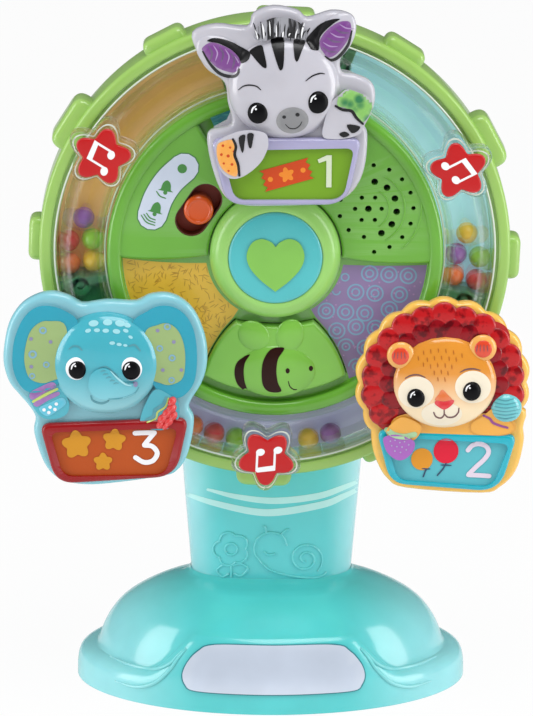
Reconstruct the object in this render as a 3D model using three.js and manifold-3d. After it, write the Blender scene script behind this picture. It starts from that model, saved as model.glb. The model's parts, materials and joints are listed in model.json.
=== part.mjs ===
import * as THREE from 'three';
import { mergeVertices } from 'three/addons/utils/BufferGeometryUtils.js';
import Module from 'manifold-3d';

// A spinning wheel toy on a suction base. Millimetres, +Z up, the front faces -Y.
// The origin is the middle of the suction cup's face, on the table.

const wasm = await Module();
wasm.setup();

// Driving dimensions of the whole toy
const wheelRadius = 100;
const wheelCentreHeight = 201.5;
const baseHalfWidth = 85.3;
const baseHalfDepth = 55.7;
const baseHeight = 49.5;
const neckCentreY = 6;
const neckHalfDepth = 19;
const restTurn = THREE.MathUtils.degToRad(2.3);

// Clearances and shared walls
const seatGap = 0.3;
const runningGap = 0.5;
const wall = 2.4;
const thinWall = 1.6;
const overrun = 2;
const farReach = wheelRadius * 4;

// Counts that set how smooth the round shapes are
const wheelSides = 30;
const hubSides = 24;
const roundSides = 16;
const pinSides = 8;
const smallSides = 6;
const headSides = 12;
const ballSides = 8;
const baseSides = 28;
const neckSides = 20;
const outlineSteps = 32;
const bevelSteps = 1;
const starSteps = 20;
const cornerSteps = 2;
const sectorSteps = 4;
const wedgeSteps = 6;
const heartSegments = 5;

// Places of what repeats round the wheel, in degrees from +X seen from the front
const animalAngles = { zebra: 90, elephant: 210, lion: 330 };
const starAngles = { right: 30, left: 150, bottom: 270 };
const fullTurn = 360;
const thirdOfTurn = fullTurn / 3;
// Turning wheel: a tray with a rim, a channel for the beads, a bore and a floor
const ringDepth = 20;
const ringBackGap = 1;
const ringBackY = neckCentreY - neckHalfDepth - ringBackGap;
const ringFrontY = ringBackY - ringDepth;
const rimWidth = 5.1;
const rimRound = 2.4;
const ringFloor = 2.5;
const ledgeWidth = 2.5;
const ledgeY = ringFrontY + rimRound;
const channelWidth = 22.2;
const innerWall = 4.5;
const channelOuterRadius = wheelRadius - rimWidth - ledgeWidth;
const channelInnerRadius = channelOuterRadius - channelWidth;
const channelMiddle = (channelInnerRadius + channelOuterRadius) / 2;
const channelFloorY = ringBackY - ringFloor;
const channelSeatY = channelFloorY - seatGap;
const boreRadius = channelInnerRadius - innerWall;
const drumRadius = boreRadius - runningGap;

// Clear cover over the chambers
const coverFlange = 1.6;
const coverCrown = 8;
const coverStep = 3;
const coverArch = 1.44;
const coverFrontY = ledgeY - coverFlange;
const crownY = coverFrontY - coverCrown;

// Grip lobes on the rim
const lobeCount = 12;
const smallLobe = { reach: 4, width: 19, depth: 13 };
const largeLobe = { reach: 5.5, width: 24, depth: 15 };

// Face plate of the stationary drum
const faceOverlap = 6;
const faceRadius = drumRadius + faceOverlap;
const faceSink = 0.4;
const faceBackY = ringFrontY + faceSink;
const facePanel = 2.4;
const panelY = faceBackY - facePanel;
const faceRim = { width: 6.2, rise: 5.2 };
const faceRimY = panelY - faceRim.rise;

// Raised sectors of the face plate, each between two angles
const sector = { rise: 4.2, round: 1.6, sag: 3 };
const sectorSpans = { right: [-3, 60], left: [120, 181] };
const sectorY = panelY - sector.rise;

// Hub in the middle of the face plate
const hubShares = { radius: 0.3919, discRadius: 0.2753, heartSize: 0.1713, heartDrop: 0.0225 };
const hub = { ...scaled(hubShares, faceRadius), rise: 9.2, discRise: 1.1 };
const hubY = panelY - hub.rise;
const hubSeatY = hubY + hub.discRise + wall;
const heartSeatY = hubY + hub.discRise;

// Volume slide
const slideShares = { x: -0.4551, z: 0.2753, knobRadius: 0.0885 };
const slide = { ...scaled(slideShares, faceRadius), travel: 5.4, slope: THREE.MathUtils.degToRad(56) };
const knob = { proud: 1.6, round: 0.8, stemRadius: 3, gap: 0.7 };
const knobFrontY = sectorY - knob.proud;
const slotRadius = slide.knobRadius + knob.gap;
const shutter = { thickness: 1.4, lap: 2.2 };

// Speaker grille: a middle hole and rings of holes round it
const grilleShares = { x: 0.5492, z: 0.2837 };
const grille = { ...scaled(grilleShares, faceRadius), small: 0.95, large: 1.45 };
const grilleRingShares = [
  { radius: 0.0787, count: 6, size: 'small', from: 0, to: 300 },
  { radius: 0.1685, count: 6, size: 'large', from: -62, to: 78 },
  { radius: 0.1742, count: 5, size: 'small', from: 128, to: 262 },
  { radius: 0.2669, count: 9, size: 'small', from: -82, to: 84 },
];
const grilleSegments = 3;

// Press button with the bee
const beeShares = { topHalf: 0.2317, bottomHalf: 0.4284 };
const beeForm = { hubGap: 1.5, edgeGap: 10.2, travel: 2, proud: 1.19, drop: 5.9, lip: 1.5, wallGap: 1.5 };
const bee = { ...scaled(beeShares, faceRadius), ...beeForm };
const beeTop = hub.radius + bee.hubGap;
const beeBottom = faceRadius - bee.edgeGap;
const beeFrontY = sectorY - bee.proud;
const beePad = { radius: 8 };

// Rear housing and its posts, at angles in degrees
const housing = { shoulder: 4.8, depth: 34, round: 7, post: 3.2 };
const housingRadius = drumRadius + housing.shoulder;
const housingShoulderY = ringBackY + runningGap;
const housingBackY = housingShoulderY + housing.depth;
const housingInnerY = housingBackY - wall;
const postAngles = [2, 75, 178];

// Batteries, their bay and its door
const battery = { radius: 5.2, length: 44.5, pitch: 12, drop: 10 };
const batteryDoor = { width: 58, height: 34, thickness: 2.2, corner: 2.4 };
const doorScrew = { radius: 2.6, height: 3 };
const doorFrontY = housingBackY - batteryDoor.thickness;
const doorScrewZ = batteryDoor.height / 2 - battery.drop - doorScrew.radius - thinWall;
const bayHalf = battery.length / 2 + seatGap * 2;
const bayFloorY = doorFrontY - seatGap - battery.radius * 2 - seatGap * 2;

// Works between the face plate and the battery bay, from front to back
const drumFrontY = faceBackY + seatGap;
const shutterBackY = drumFrontY + shutter.thickness;
const stemEndY = shutterBackY + wall;
const switchHeight = 3.6;
const switchFrontY = stemEndY + seatGap;
const boardShares = { width: 0.9202, height: 1.2577, middle: -0.0767, side: -0.1491 };
const board = { ...scaled(boardShares, drumRadius), thickness: 1.6, corner: 2.4 };
const boardFrontY = switchFrontY + switchHeight + seatGap;
const boardBackY = boardFrontY + board.thickness;
const speakerShares = { radius: 0.2147, cone: 0.138, magnet: 0.1074 };
const speaker = { ...scaled(speakerShares, drumRadius), height: 8 };
const spinSensor = { width: 12.8, height: 6, depth: 6.4 };

// Neck
const neck = { topHalf: 43, waistHalf: 37.8, footHalf: 35.4, waistHeight: 80, lap: 5.7, footSink: 7 };
const neckSquareness = 2.5;
const neckTop = wheelCentreHeight - Math.sqrt(housingRadius ** 2 - neck.topHalf ** 2) + neck.lap;
const neckFoot = baseHeight - neck.footSink;

// Base, suction cup and label
const cup = { radius: 46, edge: 1.2, stem: 8, flange: 11, height: 15 };
const baseFloor = { height: 2.2, thickness: 2.4 };
const baseFloorTop = baseFloor.height + baseFloor.thickness;
const label = { width: 77.6, height: 21.4, thickness: 1, middle: 19.6 };
const apronHalf = 38;
const apronBlend = 22;

// Gondolas: a figure, its basket, a back cover and the pin that it swings on
const pivotInset = 17;
const pivotRadius = wheelRadius - pivotInset;
const gondolaGap = 5.8;
const gondolaBackY = crownY - gondolaGap;
const figureSize = 60;
const backCover = { thickness: 2, inset: 2.2 };
const figurePlate = { thickness: 6.4, round: 1.8 };
const backCoverFrontY = gondolaBackY - backCover.thickness;
const figureBackY = backCoverFrontY - seatGap;
const figureFrontY = figureBackY - figurePlate.thickness;
const pin = { radius: 3, head: 5.6, headHeight: 2, collar: 5.2 };
const pinPocket = { radius: 7.2, depth: 4.2 };
const basketRise = { frame: 3.4, field: 1.8, round: 1.1 };
const basketRadii = [4, 4, 12, 10];
const basketField = { drop: 41, narrower: 0.14, lower: 0.2, corner: 0.7 };

// Beads
const beadRadius = 4.6;
const beadInnerRadius = channelInnerRadius + seatGap + beadRadius + wall;
const beadOuterRadius = channelOuterRadius - seatGap - beadRadius;
const beadY = channelFloorY - wall - seatGap * 2 - beadRadius;

// Stars and the clear blocks behind them
const star = { radius: 12.2, notch: 0.66, block: 15.2, blockHeight: 10.6, height: 1.8, inset: 14 };
const starPlace = wheelRadius - star.inset;
const starSeatY = crownY - star.blockHeight;

// Brackets that close the chambers beside each animal
const bracket = { halfAngle: 19, wallAngle: 2.4, floor: 2, post: 4.4, hub: 7.2 };
const chamberHalfAngle = thirdOfTurn / 2 - bracket.halfAngle;
const linerEndAngle = 1;

// Colours
const colours = {
  aqua: 0x45c6c9, lime: 0x9bd94a, orange: 0xf0842c, teal: 0x35b8c4, purple: 0x8d7fd0, white: 0xf4f4f8,
  red: 0xd9272e, skyBlue: 0x5cc8e6, yellow: 0xf6c843, green: 0x8fd23f, darkGreen: 0x2f7a45,
  silver: 0xcfd3dc, grey: 0x8d9096, black: 0x2a2a2e, clear: 0xdfeef2, copper: 0xc07a3a,
};

// Turns a three.js geometry into a solid; the winding is flipped where it points inwards.
function solid(geometry) {
  const bare = geometry.index ? geometry.toNonIndexed() : geometry.clone();
  bare.deleteAttribute('normal');
  bare.deleteAttribute('uv');
  const merged = mergeVertices(bare, wheelRadius * 1e-6);
  const triVerts = Uint32Array.from(dropCollapsed(merged.index.array));
  const vertProperties = Float32Array.from(merged.attributes.position.array);
  if (signedVolume(vertProperties, triVerts) < 0) {
    for (let i = 0; i < triVerts.length; i += 3) {
      [triVerts[i], triVerts[i + 1]] = [triVerts[i + 1], triVerts[i]];
    }
  }
  return new wasm.Manifold(new wasm.Mesh({ numProp: 3, vertProperties, triVerts }));
}

function dropCollapsed(index) {
  const kept = [];
  for (let i = 0; i < index.length; i += 3) {
    const [a, b, c] = index.slice(i, i + 3);
    if (a !== b && b !== c && c !== a) kept.push(a, b, c);
  }
  return kept;
}

function signedVolume(positions, index) {
  const [a, b, c] = [new THREE.Vector3(), new THREE.Vector3(), new THREE.Vector3()];
  let volume = 0;
  for (let i = 0; i < index.length; i += 3) {
    a.fromArray(positions, index[i] * 3);
    b.fromArray(positions, index[i + 1] * 3);
    c.fromArray(positions, index[i + 2] * 3);
    volume += a.dot(b.cross(c));
  }
  return volume;
}

function geometryOf(body) {
  const { vertProperties, triVerts } = body.getMesh();
  const geometry = new THREE.BufferGeometry();
  geometry.setAttribute('position', new THREE.BufferAttribute(Float32Array.from(vertProperties), 3));
  geometry.setIndex(Array.from(triVerts));
  return geometry;
}

function join(bodies) {
  return bodies.reduce((whole, body) => whole.add(body));
}

function cut(body, tools) {
  return tools.reduce((rest, tool) => rest.subtract(tool), body);
}

// A flat outline in (x, z), seen from the front, made solid from y = back to y = front.
function plate(shape, back, front, segments = smallSides) {
  const geometry = new THREE.ExtrudeGeometry(shape, {
    depth: back - front, bevelEnabled: false, curveSegments: segments,
  });
  return solid(geometry.rotateX(Math.PI / 2).translate(0, back, 0));
}

// The same with its front edge rounded; the rounding stays inside the outline.
function roundedPlate(shape, back, front, round, segments = smallSides) {
  const geometry = new THREE.ExtrudeGeometry(shape, {
    depth: back - front, bevelThickness: round, bevelSize: round, bevelOffset: -round,
    bevelSegments: bevelSteps, curveSegments: segments,
  });
  const whole = solid(geometry.rotateX(Math.PI / 2).translate(0, back + round, 0));
  return whole.subtract(slab(back, back + round + overrun));
}

// Everything between two planes square to Y
function slab(front, back) {
  const box = new THREE.BoxGeometry(farReach, back - front, farReach);
  return solid(box.translate(0, (front + back) / 2, wheelCentreHeight / 2));
}

// A closed profile of (radius, y) turned about the Y axis
function turned(profile, sides = wheelSides) {
  const points = profile.map(([radius, y]) => new THREE.Vector2(radius, y));
  return solid(new THREE.LatheGeometry([...points, points[0].clone()], sides));
}

function cylinder(radius, back, front, sides = roundSides) {
  return turned([[0, back], [radius, back], [radius, front], [0, front]], sides);
}

function circle(radius, x = 0, z = 0) {
  return new THREE.Shape().absarc(x, z, radius, 0, Math.PI * 2);
}

// A stadium: a straight slot with round ends, turned by slope about its middle
function stadium(halfLength, radius, x = 0, z = 0, slope = 0) {
  const shape = new THREE.Shape();
  const along = new THREE.Vector2(Math.cos(slope), Math.sin(slope)).multiplyScalar(halfLength);
  shape.absarc(x + along.x, z + along.y, radius, slope - Math.PI / 2, slope + Math.PI / 2);
  shape.absarc(x - along.x, z - along.y, radius, slope + Math.PI / 2, slope + Math.PI * 3 / 2);
  return shape;
}

// A polygon whose corners are rounded, each by its own radius
function roundedPolygon(corners, radii, steps = cornerSteps) {
  const points = [];
  corners.forEach((corner, i) => {
    const here = new THREE.Vector2(...corner);
    const before = new THREE.Vector2(...corners.at(i - 1)).sub(here).normalize();
    const after = new THREE.Vector2(...corners[(i + 1) % corners.length]).sub(here).normalize();
    const half = Math.acos(before.dot(after)) / 2;
    const reach = radii[i] / Math.tan(half);
    const curve = new THREE.QuadraticBezierCurve(
      here.clone().addScaledVector(before, reach), here, here.clone().addScaledVector(after, reach));
    points.push(...curve.getPoints(steps));
  });
  return new THREE.Shape(points);
}

// A table of shares turned into real sizes
function scaled(shares, size) {
  return Object.fromEntries(Object.entries(shares).map(([key, share]) => [key, share * size]));
}

// A smooth closed outline through points given as shares of a size
function smoothOutline(shares, size, steps) {
  const knots = shares.map(([x, z]) => new THREE.Vector3(x * size, z * size, 0));
  const curve = new THREE.CatmullRomCurve3(knots, true, 'centripetal');
  return new THREE.Shape(curve.getPoints(steps).slice(0, -1).map((p) => new THREE.Vector2(p.x, p.y)));
}

// A sector of the wheel between two angles in degrees, as a wedge outline that reaches past the rim
function wedge(from, to) {
  const shape = new THREE.Shape().moveTo(0, 0);
  for (let i = 0; i <= wedgeSteps; i += 1) {
    shape.lineTo(...polar(wheelRadius * 1.2, THREE.MathUtils.lerp(from, to, i / wedgeSteps)));
  }
  return shape;
}

function polar(radius, degrees) {
  const angle = THREE.MathUtils.degToRad(degrees);
  return [radius * Math.cos(angle), radius * Math.sin(angle)];
}

// A solid through closed rings of points that all have the same count, with flat ends
function loft(rings) {
  const count = rings[0].length;
  const positions = rings.flat(2);
  const index = [];
  for (let level = 0; level + 1 < rings.length; level += 1) {
    for (let i = 0; i < count; i += 1) {
      const next = (i + 1) % count;
      const [a, b] = [level * count + i, level * count + next];
      index.push(a, b, b + count, a, b + count, a + count);
    }
  }
  const last = (rings.length - 1) * count;
  for (let i = 1; i + 1 < count; i += 1) {
    index.push(0, i + 1, i, last, last + i, last + i + 1);
  }
  const geometry = new THREE.BufferGeometry();
  geometry.setAttribute('position', new THREE.Float32BufferAttribute(positions, 3));
  geometry.setIndex(index);
  return solid(geometry);
}

// A squashed ball, for the raised parts of the figures
function ball({ x, z, wide, tall, deep, turn = 0, sides = ballSides }, y, grow = 0) {
  const geometry = new THREE.SphereGeometry(1, sides, sides / 2);
  geometry.scale(wide + grow, deep + grow, tall + grow);
  geometry.rotateY(-THREE.MathUtils.degToRad(turn));
  return solid(geometry.translate(x, y, z));
}

const root = new THREE.Group();
const wheel = new THREE.Group();
wheel.position.set(0, 0, wheelCentreHeight);
wheel.rotation.y = restTurn;
root.add(wheel);
const drum = new THREE.Group();
drum.position.set(0, 0, wheelCentreHeight);
root.add(drum);

function addPiece(parent, name, body, colour, roughness = 0.35, metalness = 0) {
  const material = new THREE.MeshStandardMaterial({ color: colour, roughness, metalness });
  const mesh = new THREE.Mesh(geometryOf(body), material);
  mesh.name = name;
  parent.add(mesh);
  return mesh;
}

// Base shell: heights as shares of the base height, sizes as shares of its half width and depth
const creasedShares = [
  [0.02, 1], [0.25, 0.99], [0.45, 0.95], [0.62, 0.873], [0.76, 0.74], [0.85, 0.566], [0.89, 0.414],
  [0.903, 0.335], [0.945, 0.315], [0.98, 0.25], [1, 0.16], [0.992, 0.065], [0.975, 0],
];
const apronShares = [
  [0.02, 1], [0.25, 0.99], [0.45, 0.95], [0.62, 0.873], [0.74, 0.778], [0.82, 0.7], [0.872, 0.62],
  [0.9, 0.52], [0.935, 0.4], [0.968, 0.28], [0.992, 0.16], [0.992, 0.065], [0.975, 0],
];

function apronWeight(x, y) {
  if (y > 0) return 0;
  const past = (Math.abs(x) - apronHalf) / apronBlend;
  return 1 - THREE.MathUtils.smoothstep(past, 0, 1);
}

// The base's outer shape, grown by a distance all round and cut off at a floor height
function baseForm(grow, floor, top = baseHeight, skip = 1) {
  const levels = creasedShares.map((share, level) => [...share, level]);
  const rings = levels.filter(([, , level]) => level % skip === 0).map(([share, height, level]) => {
    const ring = [];
    for (let i = 0; i < baseSides; i += 1) {
      const angle = i * Math.PI * 2 / baseSides;
      const [x, y] = [Math.cos(angle), -Math.sin(angle)];
      const weight = apronWeight(x * baseHalfWidth, y * baseHalfDepth);
      const size = THREE.MathUtils.lerp(share, apronShares[level][0], weight);
      const z = THREE.MathUtils.lerp(height, apronShares[level][1], weight) * top;
      ring.push([x * (size * baseHalfWidth + grow), y * (size * baseHalfDepth + grow), Math.max(z, floor)]);
    }
    return ring;
  });
  return loft(rings);
}

// The room inside the base's wall, made smaller by a clearance
function baseRoom(clearance) {
  return baseForm(-wall - clearance, -overrun, baseHeight - wall, 2);
}

// A closed profile of (radius, z) turned about the Z axis
function uprightTurn(profile, sides = roundSides) {
  const points = profile.map(([radius, z]) => new THREE.Vector2(radius, z));
  return solid(new THREE.LatheGeometry([...points, points[0].clone()], sides).rotateX(Math.PI / 2));
}

function makeBaseShell() {
  const neckHole = neckForm(seatGap, neckFoot - seatGap, neckTop);
  addPiece(root, 'base_shell', cut(baseForm(0, 0), [baseRoom(0), neckHole]), colours.aqua, 0.15);
}

function makeBaseCover() {
  const sheet = new THREE.BoxGeometry(baseHalfWidth * 3, baseHalfDepth * 3, baseFloor.thickness);
  const layer = solid(sheet.translate(0, 0, baseFloor.height + baseFloor.thickness / 2));
  const reach = cup.stem + seatGap;
  const top = baseFloorTop + overrun;
  const stemHole = uprightTurn([[0, -overrun], [reach, -overrun], [reach, top], [0, top]]);
  addPiece(root, 'base_cover', baseRoom(seatGap).intersect(layer).subtract(stemHole), colours.aqua, 0.4);
}

function makeSuctionCup() {
  const underFloor = baseFloor.height - seatGap;
  const overFloor = baseFloorTop + seatGap;
  const profile = [
    [0, 0], [cup.radius, 0], [cup.radius, cup.edge], [cup.radius * 0.6, cup.edge * 1.5],
    [cup.stem + seatGap, underFloor], [cup.stem, underFloor], [cup.stem, overFloor], [cup.flange, overFloor],
    [cup.flange - thinWall, cup.height - thinWall], [cup.flange - wall, cup.height], [0, cup.height],
  ];
  addPiece(root, 'suction_cup', uprightTurn(profile), colours.silver, 0.3);
}

function makeLabelPlate() {
  const outline = stadium((label.width - label.height) / 2, label.height / 2, 0, label.middle);
  const skin = cut(baseForm(seatGap + label.thickness, 0), [baseForm(seatGap, -overrun)]);
  const body = plate(outline, 0, -baseHalfDepth * 2).intersect(skin);
  addPiece(root, 'base_label_plate', body, colours.silver, 0.25, 0.4);
}

// A neck section: a squared ellipse at one height
function neckSection(halfWidth, halfDepth, z, grow) {
  const squared = (value) => Math.sign(value) * Math.abs(value) ** (2 / neckSquareness);
  const ring = [];
  for (let i = 0; i < neckSides; i += 1) {
    const angle = i * Math.PI * 2 / neckSides;
    const x = squared(Math.cos(angle)) * (halfWidth + grow);
    ring.push([x, neckCentreY + squared(Math.sin(angle)) * (halfDepth + grow), z]);
  }
  return ring;
}

function neckHalfWidth(z) {
  if (z < neck.waistHeight) {
    const share = (z - baseHeight) / (neck.waistHeight - baseHeight);
    return THREE.MathUtils.lerp(neck.footHalf, neck.waistHalf, share);
  }
  const share = (z - neck.waistHeight) / (neckTop - neck.waistHeight);
  return THREE.MathUtils.lerp(neck.waistHalf, neck.topHalf, share);
}

function neckForm(grow, foot, top) {
  const heights = [foot, baseHeight, neck.waistHeight, (neck.waistHeight + neckTop) / 2, top];
  return loft(heights.map((z) => neckSection(neckHalfWidth(z), neckHalfDepth, z, grow)));
}

function makeNeck() {
  const inner = neckForm(-wall, neckFoot - overrun, neckTop + overrun);
  const neckBackY = neckCentreY + neckHalfDepth + overrun;
  const seat = cylinder(housingRadius + seatGap, neckBackY, ringFrontY, wheelSides)
    .translate(0, 0, wheelCentreHeight);
  const wheelRoom = slab(ringFrontY - overrun, ringBackY + runningGap);
  const tube = cut(neckForm(0, neckFoot, neckTop), [inner, seat, wheelRoom]);
  const front = slab(neckCentreY - neckHalfDepth - overrun, neckCentreY - seatGap / 2);
  const rear = slab(neckCentreY + seatGap / 2, neckBackY);
  addPiece(root, 'neck_front_shell', tube.intersect(front), colours.aqua, 0.2);
  addPiece(root, 'neck_rear_shell', tube.intersect(rear), colours.aqua, 0.2);
}

function rectangle(width, height, x, z) {
  return [[x - width / 2, z - height / 2], [x + width / 2, z - height / 2],
    [x + width / 2, z + height / 2], [x - width / 2, z + height / 2]];
}

function box2d(width, height, x, z) {
  return new THREE.Shape(rectangle(width, height, x, z).map((p) => new THREE.Vector2(...p)));
}

// The battery door's outline, grown by a distance
function doorOutline(grow) {
  const corners = rectangle(batteryDoor.width + grow * 2, batteryDoor.height + grow * 2, 0, -battery.drop);
  return roundedPolygon(corners, corners.map(() => batteryDoor.corner));
}

function housingShell() {
  return turned([
    [0, housingBackY], [housingRadius - housing.round, housingBackY],
    [housingRadius - housing.round * 0.3, housingBackY - housing.round * 0.3],
    [housingRadius, housingBackY - housing.round], [housingRadius, housingShoulderY],
    [drumRadius, housingShoulderY], [drumRadius, drumFrontY], [drumRadius - wall, drumFrontY],
    [drumRadius - wall, housingInnerY - housing.round], [drumRadius - housing.round, housingInnerY],
    [0, housingInnerY],
  ]);
}

function makeHousing() {
  const posts = postAngles.map((angle) => {
    const [x, z] = polar(drumRadius - wall - housing.post, angle);
    return cylinder(housing.post, housingBackY - wall / 2, drumFrontY, smallSides).translate(x, 0, z);
  });
  const trayWidth = bayHalf * 2;
  const tray = plate(box2d(trayWidth + wall * 2, batteryDoor.height + wall * 2, 0, -battery.drop),
    housingInnerY + wall / 2, bayFloorY - thinWall);
  const doorRoom = plate(doorOutline(seatGap), housingBackY + overrun, doorFrontY - seatGap);
  const cellRoom = plate(box2d(trayWidth, battery.pitch * 2, 0, -battery.drop), housingBackY + overrun,
    bayFloorY);
  const screwHole = cylinder(doorScrew.radius * 0.7, housingBackY + overrun, bayFloorY, smallSides)
    .translate(0, 0, doorScrewZ);
  const body = cut(join([housingShell(), ...posts, tray]), [doorRoom, cellRoom, screwHole]);
  addPiece(drum, 'rear_housing', body, colours.aqua, 0.25);
}

function makeBatteryDoor() {
  const sunk = cylinder(doorScrew.radius + seatGap, housingBackY + overrun, doorFrontY - overrun, smallSides)
    .translate(0, 0, doorScrewZ);
  const body = plate(doorOutline(0), housingBackY, doorFrontY).subtract(sunk);
  addPiece(drum, 'battery_door', body, colours.aqua, 0.4);
  const screw = join([
    cylinder(doorScrew.radius, housingBackY - seatGap, doorFrontY, smallSides),
    cylinder(doorScrew.radius * 0.5, doorFrontY + seatGap, doorFrontY - doorScrew.height, smallSides),
  ]).translate(0, 0, doorScrewZ);
  addPiece(drum, 'battery_door_screw', screw, colours.silver, 0.3, 0.9);
}

// Two cells side by side, their plus ends opposite
function makeBatteries() {
  const nubRadius = battery.radius * 0.36;
  Object.entries({ upper: 1, lower: -1 }).forEach(([row, side]) => {
    const cell = new THREE.CylinderGeometry(battery.radius, battery.radius, battery.length, roundSides);
    const nub = new THREE.CylinderGeometry(nubRadius, nubRadius, seatGap, pinSides);
    const whole = join([
      solid(cell.rotateZ(Math.PI / 2)),
      solid(nub.rotateZ(Math.PI / 2).translate(side * battery.length / 2, 0, 0)),
    ]).translate(0, bayFloorY + seatGap + battery.radius, side * battery.pitch / 2 - battery.drop);
    addPiece(drum, `battery_${row}`, whole, colours.copper, 0.3, 0.7);
  });
}

// The bell outline of the bee button, grown by a distance
function bellOutline(grow) {
  const shape = new THREE.Shape();
  const top = -beeTop + grow;
  const halfTop = bee.topHalf + grow;
  const halfBottom = bee.bottomHalf + grow;
  const bottomRadius = beeBottom + grow;
  const bottomEnd = Math.sqrt(bottomRadius ** 2 - halfBottom ** 2);
  const reach = Math.asin(halfBottom / bottomRadius);
  const [flankX, flankZ] = [halfBottom * 0.86, -beeBottom * 0.62];
  shape.moveTo(-halfTop, top);
  shape.quadraticCurveTo(-flankX, flankZ, -halfBottom, -bottomEnd);
  shape.absarc(0, 0, bottomRadius, -Math.PI / 2 - reach, -Math.PI / 2 + reach, false);
  shape.quadraticCurveTo(flankX, flankZ, halfTop, top);
  shape.quadraticCurveTo(0, top - halfTop * 0.22, -halfTop, top);
  return shape;
}

// Height of the bee's body below the wheel's centre, and its half width
function beeMiddle() {
  return -(beeTop + beeBottom) / 2 - bee.drop;
}

function beeBodySize() {
  return bee.bottomHalf * 0.55;
}

// A raised sector of the face plate, with a sagging lower edge
function sectorOutline(side) {
  const [from, to] = sectorSpans[side];
  const [start, end] = [THREE.MathUtils.degToRad(from), THREE.MathUtils.degToRad(to)];
  const inner = hub.radius + seatGap;
  const outer = faceRadius - faceRim.width / 2;
  const [lowX, lowZ] = polar((inner + outer) / 2, side === 'left' ? to : from);
  const shape = new THREE.Shape();
  shape.absarc(0, 0, outer, start, end, false);
  if (side === 'left') shape.quadraticCurveTo(lowX, lowZ - sector.sag, ...polar(inner, to));
  shape.absarc(0, 0, inner, end, start, true);
  if (side === 'right') shape.quadraticCurveTo(lowX, lowZ - sector.sag, ...polar(outer, from));
  return shape;
}

function grilleHoles() {
  const holes = [{ x: grille.x, z: grille.z, radius: grille.large }];
  grilleRingShares.forEach((ring) => {
    for (let i = 0; i < ring.count; i += 1) {
      const angle = THREE.MathUtils.lerp(ring.from, ring.to, i / (ring.count - 1));
      const [x, z] = polar(ring.radius * faceRadius, angle);
      holes.push({ x: grille.x + x, z: grille.z + z, radius: grille[ring.size] });
    }
  });
  return holes;
}

// The face plate: a disc with a rolled rim and two raised sectors, open for the slide, button and sound
function makeFacePlate() {
  const inner = faceRadius - faceRim.width;
  const disc = turned([
    [0, faceBackY], [faceRadius, faceBackY], [faceRadius, panelY - faceRim.rise * 0.4],
    [faceRadius - faceRim.width * 0.22, faceRimY + faceRim.rise * 0.12],
    [faceRadius - faceRim.width * 0.5, faceRimY],
    [faceRadius - faceRim.width * 0.78, faceRimY + faceRim.rise * 0.16],
    [inner, panelY - faceRim.rise * 0.35], [inner, panelY], [0, panelY],
  ]);
  const sectors = Object.keys(sectorSpans).map((side) => (
    roundedPlate(sectorOutline(side), faceBackY - thinWall, sectorY, sector.round, sectorSteps)));
  const slot = plate(stadium(slide.travel, slotRadius, slide.x, slide.z, slide.slope), 0, hubY);
  const bell = plate(bellOutline(seatGap), 0, hubY);
  const sound = grilleHoles().map(({ x, z, radius }) => plate(circle(radius, x, z), 0, hubY, grilleSegments));
  addPiece(drum, 'face_plate', cut(join([disc, ...sectors]), [slot, bell, ...sound]), colours.lime, 0.3);
}

function makeHub() {
  const backY = panelY - seatGap;
  const bezel = turned([
    [0, backY], [hub.radius, backY], [hub.radius, panelY - hub.rise * 0.3],
    [hub.radius * 0.95, panelY - hub.rise * 0.68], [hub.radius * 0.86, panelY - hub.rise * 0.9],
    [hub.discRadius + thinWall, hubY], [hub.discRadius + seatGap, hubY],
    [hub.discRadius + seatGap, hubSeatY], [0, hubSeatY],
  ], hubSides);
  addPiece(drum, 'hub_bezel', bezel, colours.lime, 0.2);

  const discFrontY = hubY - hub.discRise * 0.4;
  const disc = turned([
    [0, hubSeatY - seatGap], [hub.discRadius, hubSeatY - seatGap],
    [hub.discRadius, hubY + hub.discRise * 0.3], [hub.discRadius * 0.92, discFrontY], [0, discFrontY],
  ], hubSides);
  const heartRoom = plate(heartOutline(hub.heartSize + seatGap), heartSeatY, hubY - overrun, heartSegments);
  addPiece(drum, 'hub_disc', disc.subtract(heartRoom), colours.teal, 0.25);

  const heart = roundedPlate(heartOutline(hub.heartSize), heartSeatY - seatGap, hubY - hub.discRise,
    thinWall / 2, heartSegments);
  addPiece(drum, 'heart_cap', heart, colours.green, 0.25);
}

// A heart as wide as twice its size, its notch upwards
function heartOutline(size) {
  const shape = new THREE.Shape();
  const z = -hub.heartDrop;
  shape.moveTo(0, z + size * 0.55);
  shape.bezierCurveTo(size * 0.3, z + size, size, z + size * 0.85, size, z + size * 0.2);
  shape.bezierCurveTo(size, z - size * 0.35, size * 0.35, z - size * 0.75, 0, z - size * 1.05);
  shape.bezierCurveTo(-size * 0.35, z - size * 0.75, -size, z - size * 0.35, -size, z + size * 0.2);
  shape.bezierCurveTo(-size, z + size * 0.85, -size * 0.3, z + size, 0, z + size * 0.55);
  return shape;
}

function makeVolumeKnob() {
  const halfLength = slide.travel * 2 + shutter.lap;
  const sheet = plate(stadium(halfLength, slotRadius + shutter.lap, slide.x, slide.z, slide.slope),
    shutterBackY, drumFrontY);
  const cap = turned([
    [0, shutterBackY], [slide.knobRadius, shutterBackY], [slide.knobRadius, knobFrontY + knob.round],
    [slide.knobRadius - knob.round, knobFrontY], [0, knobFrontY],
  ], roundSides).translate(slide.x, 0, slide.z);
  const stem = cylinder(knob.stemRadius, stemEndY, shutterBackY - seatGap, smallSides)
    .translate(slide.x, 0, slide.z);
  addPiece(drum, 'volume_knob', join([sheet, cap, stem]), colours.orange, 0.3);
}

function makeVolumeSwitch() {
  const outline = stadium(slide.travel + knob.stemRadius, knob.stemRadius + thinWall, slide.x, slide.z,
    slide.slope);
  const body = plate(outline, switchFrontY + switchHeight, switchFrontY);
  addPiece(drum, 'volume_switch', body, colours.black, 0.4);
}

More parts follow.
